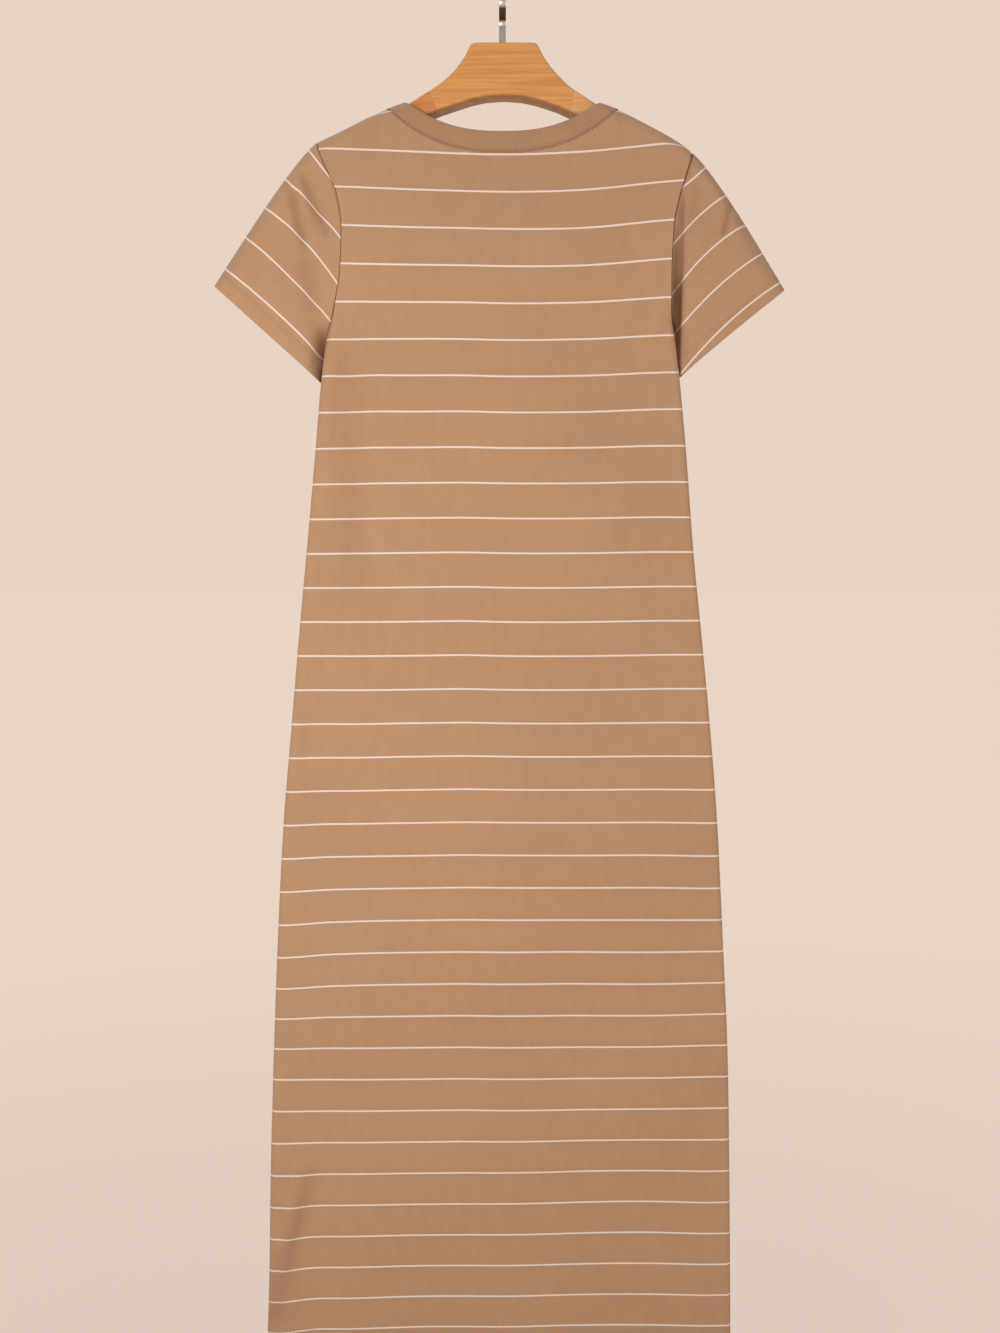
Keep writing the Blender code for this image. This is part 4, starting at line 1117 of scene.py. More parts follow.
class Sewing:
    """Lays a thread for every stitch along a line, with one Geometry Nodes tree."""

    sizes = ("Pitch", "Length", "Width", "Height")

    def __init__(self) -> None:
        """Builds the tree."""
        self.tree = bpy.data.node_groups.new("stitches", "GeometryNodeTree")
        face = self.tree.interface
        face.new_socket(name="Geometry", in_out="INPUT", socket_type="NodeSocketGeometry")
        self.sockets = {}
        for name in self.sizes:
            socket = face.new_socket(name=name, in_out="INPUT", socket_type="NodeSocketFloat")
            self.sockets[name] = socket.identifier
        thread = face.new_socket(name="Thread", in_out="INPUT", socket_type="NodeSocketMaterial")
        self.sockets["Thread"] = thread.identifier
        face.new_socket(name="Geometry", in_out="OUTPUT", socket_type="NodeSocketGeometry")
        given = self.add("NodeGroupInput").outputs
        line = self.add("GeometryNodeMeshToCurve", inputs={"Mesh": given["Geometry"]})
        spread = self.add(
            "GeometryNodeCurveToPoints",
            {"mode": "LENGTH"},
            {"Curve": line.outputs[0], "Length": given["Pitch"]},
        )
        out = self.add("GeometryNodeInputNamedAttribute", {"data_type": "FLOAT_VECTOR"}, {"Name": "out"})
        along = self.add(
            "FunctionNodeAlignRotationToVector",
            {"axis": "X"},
            {"Vector": spread.outputs["Tangent"]},
        )
        flat = self.add(
            "FunctionNodeAlignRotationToVector",
            {"axis": "Z", "pivot_axis": "X"},
            {"Rotation": along.outputs[0], "Vector": out.outputs["Attribute"]},
        )
        sphere = {"Segments": 6, "Rings": 4, "Radius": 0.5}
        thread_shape = self.add("GeometryNodeMeshUVSphere", inputs=sphere)
        size = self.add(
            "ShaderNodeCombineXYZ",
            inputs={0: given["Length"], 1: given["Width"], 2: given["Height"]},
        )
        stitches = self.add(
            "GeometryNodeInstanceOnPoints",
            inputs={
                "Points": spread.outputs["Points"],
                "Instance": thread_shape.outputs["Mesh"],
                "Rotation": flat.outputs[0],
                "Scale": size.outputs[0],
            },
        )
        real = self.add("GeometryNodeRealizeInstances", inputs={0: stitches.outputs[0]})
        done = self.add(
            "GeometryNodeSetMaterial",
            inputs={"Geometry": real.outputs[0], "Material": given["Thread"]},
        )
        self.add("NodeGroupOutput", inputs={0: done.outputs[0]})

    def add(
        self,
        kind: str,
        settings: dict[str, object] | None = None,
        inputs: dict[str | int, object] | None = None,
    ) -> bpy.types.Node:
        """Adds a node to the tree.

        Args:
            kind: Its type.
            settings: Its own properties.
            inputs: Its inputs, each a value or another node's output.

        Returns:
            The node.
        """
        node = self.tree.nodes.new(kind)
        for name, value in (settings or {}).items():
            setattr(node, name, value)
        for key, value in (inputs or {}).items():
            if isinstance(value, bpy.types.NodeSocket):
                self.tree.links.new(value, node.inputs[key])
            else:
                node.inputs[key].default_value = value
        return node

    def sew(self, name: str, runs: Sequence[StitchRun], kind: StitchKind, thread: Material) -> Piece:
        """Makes the stitches of one piece of the dress.

        Args:
            name: The new piece's name.
            runs: The lines that they follow.
            kind: Their sizes.
            thread: Their material.

        Returns:
            The stitches, as a plain mesh.
        """
        points, out, edges = [], [], []
        for run in runs:
            first = sum(len(part) for part in points)
            count = len(run.points)
            edges += [(first + k, first + k + 1) for k in range(count - 1)]
            if run.closed:
                edges.append((first + count - 1, first))
            points.append(run.points)
            out.append(run.out)
        lines = bpy.data.meshes.new(name + " lines")
        lines.from_pydata(np.concatenate(points).tolist(), edges, [])
        layer = lines.attributes.new("out", "FLOAT_VECTOR", "POINT")
        layer.data.foreach_set("vector", np.concatenate(out).astype(np.float32).ravel())
        guide = bpy.data.objects.new(name, lines)
        bpy.context.scene.collection.objects.link(guide)
        modifier = guide.modifiers.new("stitches", "NODES")
        modifier.node_group = self.tree
        for size, value in zip(self.sizes, kind.value):
            modifier[self.sockets[size]] = value
        modifier[self.sockets["Thread"]] = thread
        graph = bpy.context.evaluated_depsgraph_get()
        mesh = bpy.data.meshes.new_from_object(guide.evaluated_get(graph))
        guide.modifiers.remove(modifier)
        guide.data = mesh
        mesh.name = name
        bpy.data.meshes.remove(lines)
        return guide


# ---- The body's two panels -------------------------------------------------------------------------
@dataclass
class Columns:
    """The columns of one half of a panel, from the middle out. even is a column's place in the
    skirt, top its place at the shoulders, share its place on the rolled edge, and neck its place
    on the neck seam, above 1 past the neck."""

    neck_count: int = 30
    shoulder_count: int = 13
    edge_count: int = 7
    neck_fraction: float = 0.655
    past_neck: float = 2.0

    def half(self, form: BodyForm, jersey: Jersey) -> Array:
        """The half's columns.

        Args:
            form: The body.
            jersey: Its cloth.

        Returns:
            even, top, share and neck of every column, one column to a row.
        """
        flat_count = self.neck_count + self.shoulder_count
        rows = []
        for k in range(1, self.neck_count + 1):
            neck = crowded(k / self.neck_count)
            rows.append((k / flat_count, self.neck_fraction * neck, 0.0, neck))
        for k in range(1, self.shoulder_count + 1):
            top = mix(self.neck_fraction, 1.0, k / self.shoulder_count)
            rows.append(((self.neck_count + k) / flat_count, top, 0.0, self.past_neck))
        lips = jersey.seam_steps()[::-1]
        last = 1 - jersey.beyond_turn * lips[0] / form.strip
        rolled = np.linspace(0.0, last, self.edge_count + 1)[1:]
        for share in (*rolled, *(1 - lips / form.strip)):
            rows.append((1.0, 1.0, share, self.past_neck))
        return np.array(rows)


@dataclass
class Panel:
    """The back or the front, cut in one from the shoulders to the hem."""

    side: Side
    form: BodyForm
    jersey: Jersey
    stripes: Stripes
    spread_from_z: float = -0.75
    gather_z: float = -0.28
    row_height: float = 0.0068
    top_rows: int = 34
    back_level_z: float = -0.260  # up to here every column has its points at the same heights
    front_level_z: float = -0.280
    armhole_margin: float = 0.002  # how far below the underarm an armhole's line starts
    least_angle: float = 1e-3  # that the rolled edge is worked out with

    def columns(self) -> tuple[Array, ...]:
        """The sign, even, top, share and neck of every column, from left to right."""
        half = Columns().half(self.form, self.jersey)
        middle = np.zeros((1, 4))
        rows = np.concatenate([half[::-1], middle, half])
        sign = np.concatenate([-np.ones(len(half)), np.ones(len(half) + 1)])
        return (sign, *rows.T)

    def hem_heights(self) -> Array:
        """Heights above the hem's edge that the fold and the stitches need."""
        jersey = self.jersey
        stitches = (jersey.stitch_low, jersey.stitch_high)
        top = (jersey.hem_depth, jersey.hem_depth + jersey.hem_step)
        return np.array([*jersey.fold_steps(), *jersey.hem_rows, *stitches, *top])

    def sheeting(self) -> Sheeting:
        """The panel's cloth."""
        form, side, jersey = self.form, self.side, self.jersey
        sign, even, top, share, neck = self.columns()
        ends_at_neck = neck <= 1
        shared_top = self.back_level_z if side is Side.BACK else self.front_level_z
        hem = form.hem_z + self.hem_heights()
        count = round((shared_top - hem[-1]) / self.row_height)
        shared = np.concatenate([hem, np.linspace(hem[-1], shared_top, count + 1)[1:]])
        low = np.repeat(shared[:, None], len(sign), axis=1)

        neck_share = Columns.neck_fraction
        follows = np.where(ends_at_neck, neck, (1 - top) / (1 - neck_share))
        top_flat = form.outline(side, sign, np.full_like(sign, form.top_z)) - form.strip
        drawn = (form.neck_half - top_flat * neck_share) * follows
        top_x = sign * (top_flat * top + drawn + form.strip * share)
        ridge = form.ridge_z(top_x)
        end_z = np.where(ends_at_neck & (neck < 1), form.neckline_z(side, top_x), ridge)
        turn = form.turn(top_x)
        turn_length = form.turn_length(top_x)
        straight = np.minimum(end_z, ridge - turn) - shared_top
        last_angle = form.turn_angle(top_x, ridge - end_z)
        length = straight + turn_length * (1 - last_angle / QUARTER_TURN)
        lips = jersey.seam_steps()[::-1]
        stitch = jersey.neck_stitch
        even_rows = np.linspace(0.0, 1.0, self.top_rows + 1)[1:, None] * (length - 2 * stitch)
        near = np.array([stitch, stitch * jersey.neck_near, *lips])
        path = np.concatenate([even_rows, length - near[:, None]])
        angle = QUARTER_TURN * (1 - (path - straight) / turn_length)
        angle = np.clip(angle, 0.0, QUARTER_TURN)
        high = np.where(path <= straight, shared_top + path, ridge - turn * (1 - np.cos(angle)))

        z = np.concatenate([low, high])
        flat = form.outline(side, sign, z) - form.strip
        gathered = smooth((z - self.spread_from_z) / (self.gather_z - self.spread_from_z))
        rise = smooth((z - shared_top) / (end_z - shared_top))
        drawn = (form.neck_half - flat * neck_share) * follows
        x = sign * (flat * mix(even, top, gathered) + drawn * rise)
        x = np.where(share > 0, sign * (flat + form.strip * share), x)
        below = np.maximum(mix(form.ridge_z(x), ridge, rise) - z, 0.0)
        y = form.body_y(side, x, z, below)
        laid_x = x.copy()
        x, y = self.roll_edges(sign, share, x, y, z)

        points = np.stack([x, y, z], axis=-1)
        normals = grid_normals(points) * -side
        from_top = np.concatenate([np.full_like(low, 1.0), length - path])
        from_seam = np.where(share > 0, (1 - share) * form.strip, 1.0)
        from_hem = z - form.hem_z
        seam_sink = turned_in(np.minimum(from_top, from_seam), jersey.seam_turn)
        fold_sinks = turned_in(from_hem, jersey.hem_wall / 2)
        inner_sink = jersey.hem_inset(from_hem) - fold_sinks
        weave = np.stack([laid_x, form.laid_z(laid_x, z), self.stripes.on_body(laid_x, z)], axis=-1)
        self.neck_row = len(shared) + self.top_rows
        below = len(jersey.fold_steps()) + len(jersey.hem_rows)
        self.stitch_rows = (below, below + 1)
        self.neck_columns = np.flatnonzero(ends_at_neck)
        self.armhole_rows = np.flatnonzero(z[:, 0] >= form.underarm_z - self.armhole_margin)
        # painted shade along the neck seam and, on the back, in its creases
        painted_shade = np.where(ends_at_neck, jersey.painted_seam_shade(from_top, jersey.neck_shade), 0.0)
        if side is Side.BACK:
            painted_shade = np.maximum(painted_shade, crease_shade(BACK_CREASE_SHADES, laid_x, z))
        return Sheeting(points, normals, np.maximum(seam_sink, fold_sinks), inner_sink, weave, painted_shade)

    def roll_edges(self, sign: Array, share: Array, x: Array, y: Array, z: Array) -> tuple[Array, Array]:
        """Turns the outermost columns round the side seam, and lets them lie flat at the armhole.

        Args:
            sign: The columns' hand.
            share: Their place on the rolled edge.
            x: Their places with the edge laid flat.
            y: The same in Y.
            z: Their heights.

        Returns:
            The places in X and Y with the edge rolled.
        """
        form, side = self.form, self.side
        edge = form.outline(side, sign, z)
        opened = smooth((z - form.underarm_z) / form.arm_turn)
        angle = np.maximum(QUARTER_TURN * (1 - opened), self.least_angle)
        radius = form.strip / angle
        turned = angle * share
        rolled_x = sign * (edge - radius * np.sin(angle) + radius * np.sin(turned))
        rolled_y = form.body_y(side, sign * (edge - form.strip), z) - side * radius * (1 - np.cos(turned))
        rolls = (share > 0) & (opened < 1)
        return np.where(rolls, rolled_x, x), np.where(rolls, rolled_y, y)

    def armhole(self, sheeting: Sheeting, hand: Hand) -> Array:
        """The seam line of an armhole, from the underarm up to the ridge."""
        column = 0 if hand is Hand.LEFT else -1
        line = sheeting.points[self.armhole_rows, column].copy()
        for k in (0, -1):
            line[k, 1] = self.form.axis_y(line[k, 0], line[k, 2])
        return line

    def hem_runs(self, sheeting: Sheeting) -> list[StitchRun]:
        """The two lines of the hem's stitch."""
        outer = sheeting.outer()
        return [StitchRun(outer[row], sheeting.normals[row], False) for row in self.stitch_rows]

    def neck_run(self, sheeting: Sheeting) -> StitchRun:
        """The line of the stitch below the neck seam."""
        columns = self.neck_columns
        points = sheeting.outer()[self.neck_row, columns]
        return StitchRun(points, sheeting.normals[self.neck_row, columns], False)


# ---- Sleeves ---------------------------------------------------------------------------------------
class SleeveStripe(NamedTuple):
    """A stripe of a sleeve: its height over the cuff's line at the tip, how much it climbs from
    there per metre of the way to the corner, where on that way it starts and ends, and how far it
    bows up between."""

    above: float
    climb: float
    start: float
    end: float
    bow: float


LEFT_STRIPES = (
    SleeveStripe(-0.0155, -0.008, 0.006, 0.150, 0.0010),
    SleeveStripe(0.0204, -0.008, 0.001, 0.132, 0.0026),
    SleeveStripe(0.0570, -0.049, -0.002, 0.109, 0.0034),
    SleeveStripe(0.0910, -0.088, -0.009, 0.093, 0.0056),
    SleeveStripe(0.1245, -0.098, -0.012, 0.068, 0.0024),
    SleeveStripe(0.1592, -0.189, -0.014, 0.021, 0.0000),
    SleeveStripe(0.1945, -0.189, -0.016, 0.014, 0.0000),
)
RIGHT_STRIPES = (
    SleeveStripe(-0.0245, -0.054, 0.006, 0.140, 0.0040),
    SleeveStripe(0.0088, -0.054, 0.000, 0.132, 0.0058),
    SleeveStripe(0.0423, -0.053, -0.003, 0.113, 0.0052),
    SleeveStripe(0.0740, -0.072, -0.007, 0.091, 0.0064),
    SleeveStripe(0.1083, -0.065, -0.009, 0.061, 0.0036),
    SleeveStripe(0.1423, -0.040, -0.011, 0.021, -0.0006),
    SleeveStripe(0.1775, -0.040, -0.013, 0.014, 0.0000),
)


@dataclass
class Sleeve:
    """A short sleeve, closed by an underarm seam, with its cuff turned up. tip and corner are the
    ends of its flattened cuff, at the outer fold and under the arm."""

    name: str
    hand: Hand
    tip: Place
    corner: Place
    depth: float
    back_folds: tuple[Fold, ...]
    front_folds: tuple[Fold, ...]
    crease_shades: tuple[CreaseShade, ...]
    stripes: tuple[SleeveStripe, ...]
    # how deep the painted shade beside the armhole seam is
    seam_shade: float
    stripe_kink: float = 0.0  # how far a fold draws a stripe aside, for its depth
    cuff_bow: float = 0.0
    bulge: float = 0.0054
    bulge_power: float = 0.6  # below 1, the outer fold stands out most near the shoulder
    start_gap: float = 0.0001
    shortest: float = 0.038
    fold_calm: float = 0.12
    seam_calm: float = 0.06
    cuff_turn: float = 0.16
    around: int = 72
    rings: int = 52

    def cuff(self, share: Array, side: Array) -> Array:
        """Points of the flattened cuff.

        Args:
            share: 0 at the corner under the arm and 1 at the tip.
            side: Which layer each point is in, as its way in Y.

        Returns:
            The points.
        """
        points = mix(np.array(self.corner), np.array(self.tip), share[:, None])
        nearest = np.minimum(share, 1 - share)
        rounding = np.sqrt(1 - (1 - np.minimum(nearest / self.cuff_turn, 1.0)) ** 2)
        points[:, 1] += side * self.depth * rounding
        run_x, _, run_z = unit(np.array(self.tip) - np.array(self.corner))
        bow = self.cuff_bow * 4 * share * (1 - share)
        points[:, 0] -= self.hand * bow * run_z
        points[:, 2] += self.hand * bow * run_x
        return points

    def sheeting(self, backs: Array, fronts: Array, jersey: Jersey) -> Sheeting:
        """The sleeve's cloth.

        Args:
            backs: The back panel's armhole, from the underarm up.
            fronts: The front panel's.
            jersey: The cloth.

        Returns:
            The sleeve, its rings running from the armhole to the cuff.
        """
        back_line = resampled(backs, self.around)
        front_line = resampled(fronts, self.around)
        start = np.concatenate([back_line, front_line[-2:0:-1]])
        up = np.linspace(0.0, 1.0, self.around)
        share = np.concatenate([up, up[-2:0:-1]])
        side = np.concatenate([np.full(self.around, -1.0), np.full(self.around - 2, 1.0)])
        start[:, 0] += self.hand * self.start_gap
        end = self.cuff(share, side)
        length = np.maximum(np.linalg.norm(end - start, axis=1), self.shortest)
        lips = jersey.seam_steps()[:, None] / length
        hem = 1 - jersey.hem_depth / length
        first = lips[-1] * jersey.beyond_turn
        body_rows = mix(first, hem, np.linspace(0.0, 1.0, self.rings)[:, None])
        near = (jersey.stitch_high, jersey.stitch_low, *jersey.hem_rows[::-1])
        cuff_rows = 1 - np.array([*near, *jersey.fold_steps()[::-1]])[:, None] / length
        t = np.concatenate([lips, body_rows, cuff_rows])
        points = start + (end - start) * t[..., None]
        along = np.array(self.tip) - back_line[-1]
        along[1] = 0.0
        along = unit(along)
        outwards = np.array([-along[2], 0.0, along[0]]) * self.hand
        bulge = self.bulge * np.sin(math.pi * t**self.bulge_power)
        points += outwards * (bulge * smooth(share) ** 2)[..., None]
        calm = smooth(np.minimum(share, 1 - share) / self.fold_calm) * smooth(t / self.seam_calm)
        back_sink = fold_sink(self.back_folds, points[..., 0], points[..., 2])
        front_sink = fold_sink(self.front_folds, points[..., 0], points[..., 2])
        sink = np.where(side < 0, back_sink, front_sink)
        points[..., 1] -= side * sink * calm
        # painted shade in the back layer's creases and beside the armhole seam
        painted_shade = crease_shade(self.crease_shades, points[..., 0], points[..., 2]) * (side < 0)
        painted_shade = np.maximum(painted_shade, jersey.painted_seam_shade(t * length, self.seam_shade))
        normals = grid_normals(points, ring=True)
        centre = points.mean(axis=1, keepdims=True)
        normals = normals * np.sign(((points - centre) * normals).sum())
        from_seam = t * length
        from_cuff = (1 - t) * length
        fold_sinks = turned_in(from_cuff, jersey.hem_wall / 2)
        outer_sink = np.maximum(turned_in(from_seam, jersey.seam_turn), fold_sinks)
        inner_sink = jersey.hem_inset(from_cuff) - fold_sinks
        above = len(lips) + len(body_rows)
        self.stitch_rows = (above, above + 1)
        weave = self.weave(points, sink, side)
        return Sheeting(points, normals, outer_sink, inner_sink, weave, painted_shade, ring=True)

    def weave(self, points: Array, sink: Array, side: Array) -> Array:
        """Where each point lies on the cloth, measured from the cuff's line.

        Args:
            points: The points.
            sink: How far the folds sink them.
            side: The layer of each, as its way in Y.

        Returns:
            Place across and along the cloth, and the stripes' count.
        """
        tip = np.array(self.tip)[[0, 2]]
        corner = np.array(self.corner)[[0, 2]]
        line = unit(corner - tip)
        offset = points[..., [0, 2]] - tip
        from_tip = offset @ line
        above = np.abs(offset[..., 0] * line[1] - offset[..., 1] * line[0])
        levels = [stripe.above for stripe in self.stripes]
        climb, start, end, bow = (
            table_curve(self.stripes, name)(above) for name in SleeveStripe._fields[1:]
        )
        span = np.clip((from_tip - start) / (end - start), 0.0, 1.0)
        laid = above - climb * from_tip - bow * 4 * span * (1 - span) + self.stripe_kink * sink
        number = Curve(levels, np.arange(len(levels), dtype=float))
        return np.stack([from_tip * side, above, number(laid)], axis=-1)

    def cuff_runs(self, sheeting: Sheeting) -> list[StitchRun]:
        """The two lines of the cuff's stitch."""
        outer = sheeting.outer()
        return [StitchRun(outer[row], sheeting.normals[row], True) for row in self.stitch_rows]


def left_sleeve() -> Sleeve:
    """The sleeve on the left of someone who looks at the back."""
    back = (
        Fold(-0.2010, -0.188, -0.1710, -0.262, 0.0046, 0.0062),
        Fold(-0.2120, -0.198, -0.1940, -0.276, 0.0044, 0.0062),
        Fold(-0.2070, -0.194, -0.1830, -0.280, -0.0016, 0.0055),
        Fold(-0.2330, -0.222, -0.2020, -0.330, 0.0026, 0.0110),
        Fold(-0.1970, -0.266, -0.1860, -0.340, 0.0026, 0.0070),
        Fold(-0.1800, -0.330, -0.1880, -0.412, 0.0056, 0.0090),
    )
    front = (
        Fold(-0.208, -0.210, -0.186, -0.290, 0.0030, 0.011),
        Fold(-0.232, -0.250, -0.206, -0.350, 0.0022, 0.012),
    )
    crease_shades = (
        CreaseShade(-0.2000, -0.190, -0.1715, -0.262, 0.0055, 0.0030, 0.22),
        CreaseShade(-0.2115, -0.200, -0.1945, -0.278, 0.0050, 0.0030, 0.23),
        CreaseShade(-0.2010, -0.262, -0.1850, -0.352, 0.0150, 0.0090, 0.15),
        CreaseShade(-0.1790, -0.334, -0.1855, -0.450, 0.0085, 0.0060, 0.97),
    )
    return Sleeve(
        name="sleeve_left",
        hand=Hand.LEFT,
        tip=(-0.2899, 0.0010, -0.3049),
        corner=(-0.1828, 0.0045, -0.4009),
        depth=0.0085,
        back_folds=back,
        front_folds=front,
        crease_shades=crease_shades,
        stripes=LEFT_STRIPES,
        seam_shade=0.60,
        stripe_kink=0.30,
    )


def right_sleeve() -> Sleeve:
    """The sleeve on the right."""
    back = (
        Fold(0.1735, -0.235, 0.1765, -0.430, 0.0085, 0.0065),
        Fold(0.2295, -0.216, 0.2165, -0.262, 0.0034, 0.0042),
        Fold(0.2010, -0.202, 0.1760, -0.268, 0.0032, 0.0075),
        Fold(0.2120, -0.215, 0.2060, -0.300, 0.0016, 0.0090),
    )
    front = (
        Fold(0.205, -0.220, 0.190, -0.300, 0.0028, 0.012),
        Fold(0.238, -0.262, 0.212, -0.352, 0.0020, 0.012),
    )
    crease_shades = (
        CreaseShade(0.1778, -0.205, 0.1790, -0.330, 0.0070, 0.0016, 0.50),
        CreaseShade(0.1782, -0.262, 0.1792, -0.460, 0.0110, 0.0014, 0.97),
        CreaseShade(0.2285, -0.218, 0.2175, -0.260, 0.0022, 0.0028, 0.30),
        CreaseShade(0.2000, -0.200, 0.1770, -0.266, 0.0050, 0.0050, 0.10),
    )
    return Sleeve(
        name="sleeve_right",
        hand=Hand.RIGHT,
        tip=(0.2838, 0.0000, -0.3090),
        corner=(0.1791, 0.0045, -0.3950),
        depth=0.0095,
        back_folds=back,
        front_folds=front,
        crease_shades=crease_shades,
        stripes=RIGHT_STRIPES,
        seam_shade=0.95,
        cuff_bow=0.0010,
    )


# ---- The neckband ----------------------------------------------------------------------------------
@dataclass
class Neckband:
    """A strip of plain jersey, folded double and closed to a ring round the neck."""

    form: BodyForm
    jersey: Jersey
    steps: int = 9
    fold_points: int = 5
    stitch_above: float = 0.0016  # the stitch, above the seam
    next_above: float = 0.0030  # the row past it
    puff: float = 0.0005
    puff_squeeze: float = 1.05  # how many times sooner than the band the puff ends
    puff_power: float = 0.7

    def build(self) -> tuple[Piece, StitchRun]:
        """Makes the neckband.

        Returns:
            The piece, and the line of the stitch just above the seam.
        """
        form, jersey = self.form, self.jersey
        half = crowded(np.linspace(0.0, 1.0, Columns.neck_count + 1))
        back = np.concatenate([-half[:0:-1], half])
        front = back[-2:0:-1]
        width = form.band_width
        lips = jersey.seam_steps()
        rest = np.linspace(self.next_above, width, self.steps)
        places = np.concatenate([lips, [self.stitch_above], rest]) / width
        halves = [self.surface(Side.BACK, back, places), self.surface(Side.FRONT, front, places)]
        points = np.concatenate(halves, axis=1)
        normals = grid_normals(points, ring=True)
        rise = unit(points[-1] - points[-2])
        wall = jersey.band_wall
        swell = np.sin(math.pi * np.minimum(places * self.puff_squeeze, 1.0))
        puffed = self.puff * swell**self.puff_power
        sunk = turned_in(places * width, jersey.seam_turn)
        outer = points + normals * (puffed - sunk)[:, None, None]
        centre = points[-1] - normals[-1] * wall / 2
        angles = np.linspace(0.0, math.pi, self.fold_points + 2)[1:-1]
        fold = [centre + (normals[-1] * math.cos(a) + rise * math.sin(a)) * wall / 2 for a in angles]
        inner = (points - normals * wall)[::-1]
        ring = np.concatenate([outer, np.array(fold), inner])
        rows, columns = ring.shape[:2]
        faces = grid_faces(rows, columns, True, True)
        piece = make_piece("neck_rib", ring.reshape(-1, 3), faces, CLOTH_SHARP)
        distance = np.linalg.norm(np.roll(points[0], -1, axis=0) - points[0], axis=1)
        across = np.repeat(np.cumsum(distance)[None, :], rows, axis=0)
        along = np.repeat(np.linspace(0.0, 2 * width, rows)[:, None], columns, axis=1)
        add_weave(piece, np.stack([across, along, np.zeros_like(along)], axis=-1).reshape(-1, 3))
        row = len(lips)
        return piece, StitchRun(outer[row], normals[row], True)

    def surface(self, side: Side, stations: Array, places: Array) -> Array:
        """Rows of points from the seam up to the band's edge.

        Args:
            side: Which side of the neck.
            stations: Places along the seam, from -1 to 1.
            places: Shares of the band's width, from the seam up.

        Returns:
            The points, a row for each place.
        """
        form = self.form
        seam_x = stations * form.neck_half
        edge_x = stations * form.band_ridge_half
        seam_below = np.maximum(form.ridge_z(seam_x) - form.neckline_z(side, seam_x), 0.0)
        edge_below = np.maximum(form.ridge_z(edge_x) - form.band_top_z(side, edge_x), 0.0)
        x = mix(seam_x, edge_x, places[:, None])
        below = mix(seam_below, edge_below, places[:, None])
        z = form.ridge_z(x) - below
        return np.stack([x, form.body_y(side, x, z, below), z], axis=-1)


# ---- The hanger ------------------------------------------------------------------------------------
class Profile(NamedTuple):
    """The hanger's outline at a distance from the middle, and how far the block stands to the right
    of its hook there."""

    out: float
    shift: float
    top_z: float
    low_z: float


BLOCK_PROFILE = (
    Profile(0.0000, 0.0016, -0.0700, -0.1211),
    Profile(0.0160, 0.0016, -0.0700, -0.1222),
    Profile(0.0285, 0.0016, -0.0701, -0.1245),
    Profile(0.0316, 0.0016, -0.0711, -0.1253),
    Profile(0.0340, 0.0016, -0.0738, -0.1259),
    Profile(0.0362, 0.0016, -0.0780, -0.1266),
    Profile(0.0390, 0.0016, -0.0837, -0.1275),
    Profile(0.0430, 0.0016, -0.0892, -0.1288),
    Profile(0.0480, 0.0016, -0.0957, -0.1304),
    Profile(0.0545, 0.0014, -0.1024, -0.1326),
    Profile(0.0620, 0.0006, -0.1092, -0.1355),
    Profile(0.0720, 0.0000, -0.1164, -0.1397),
)


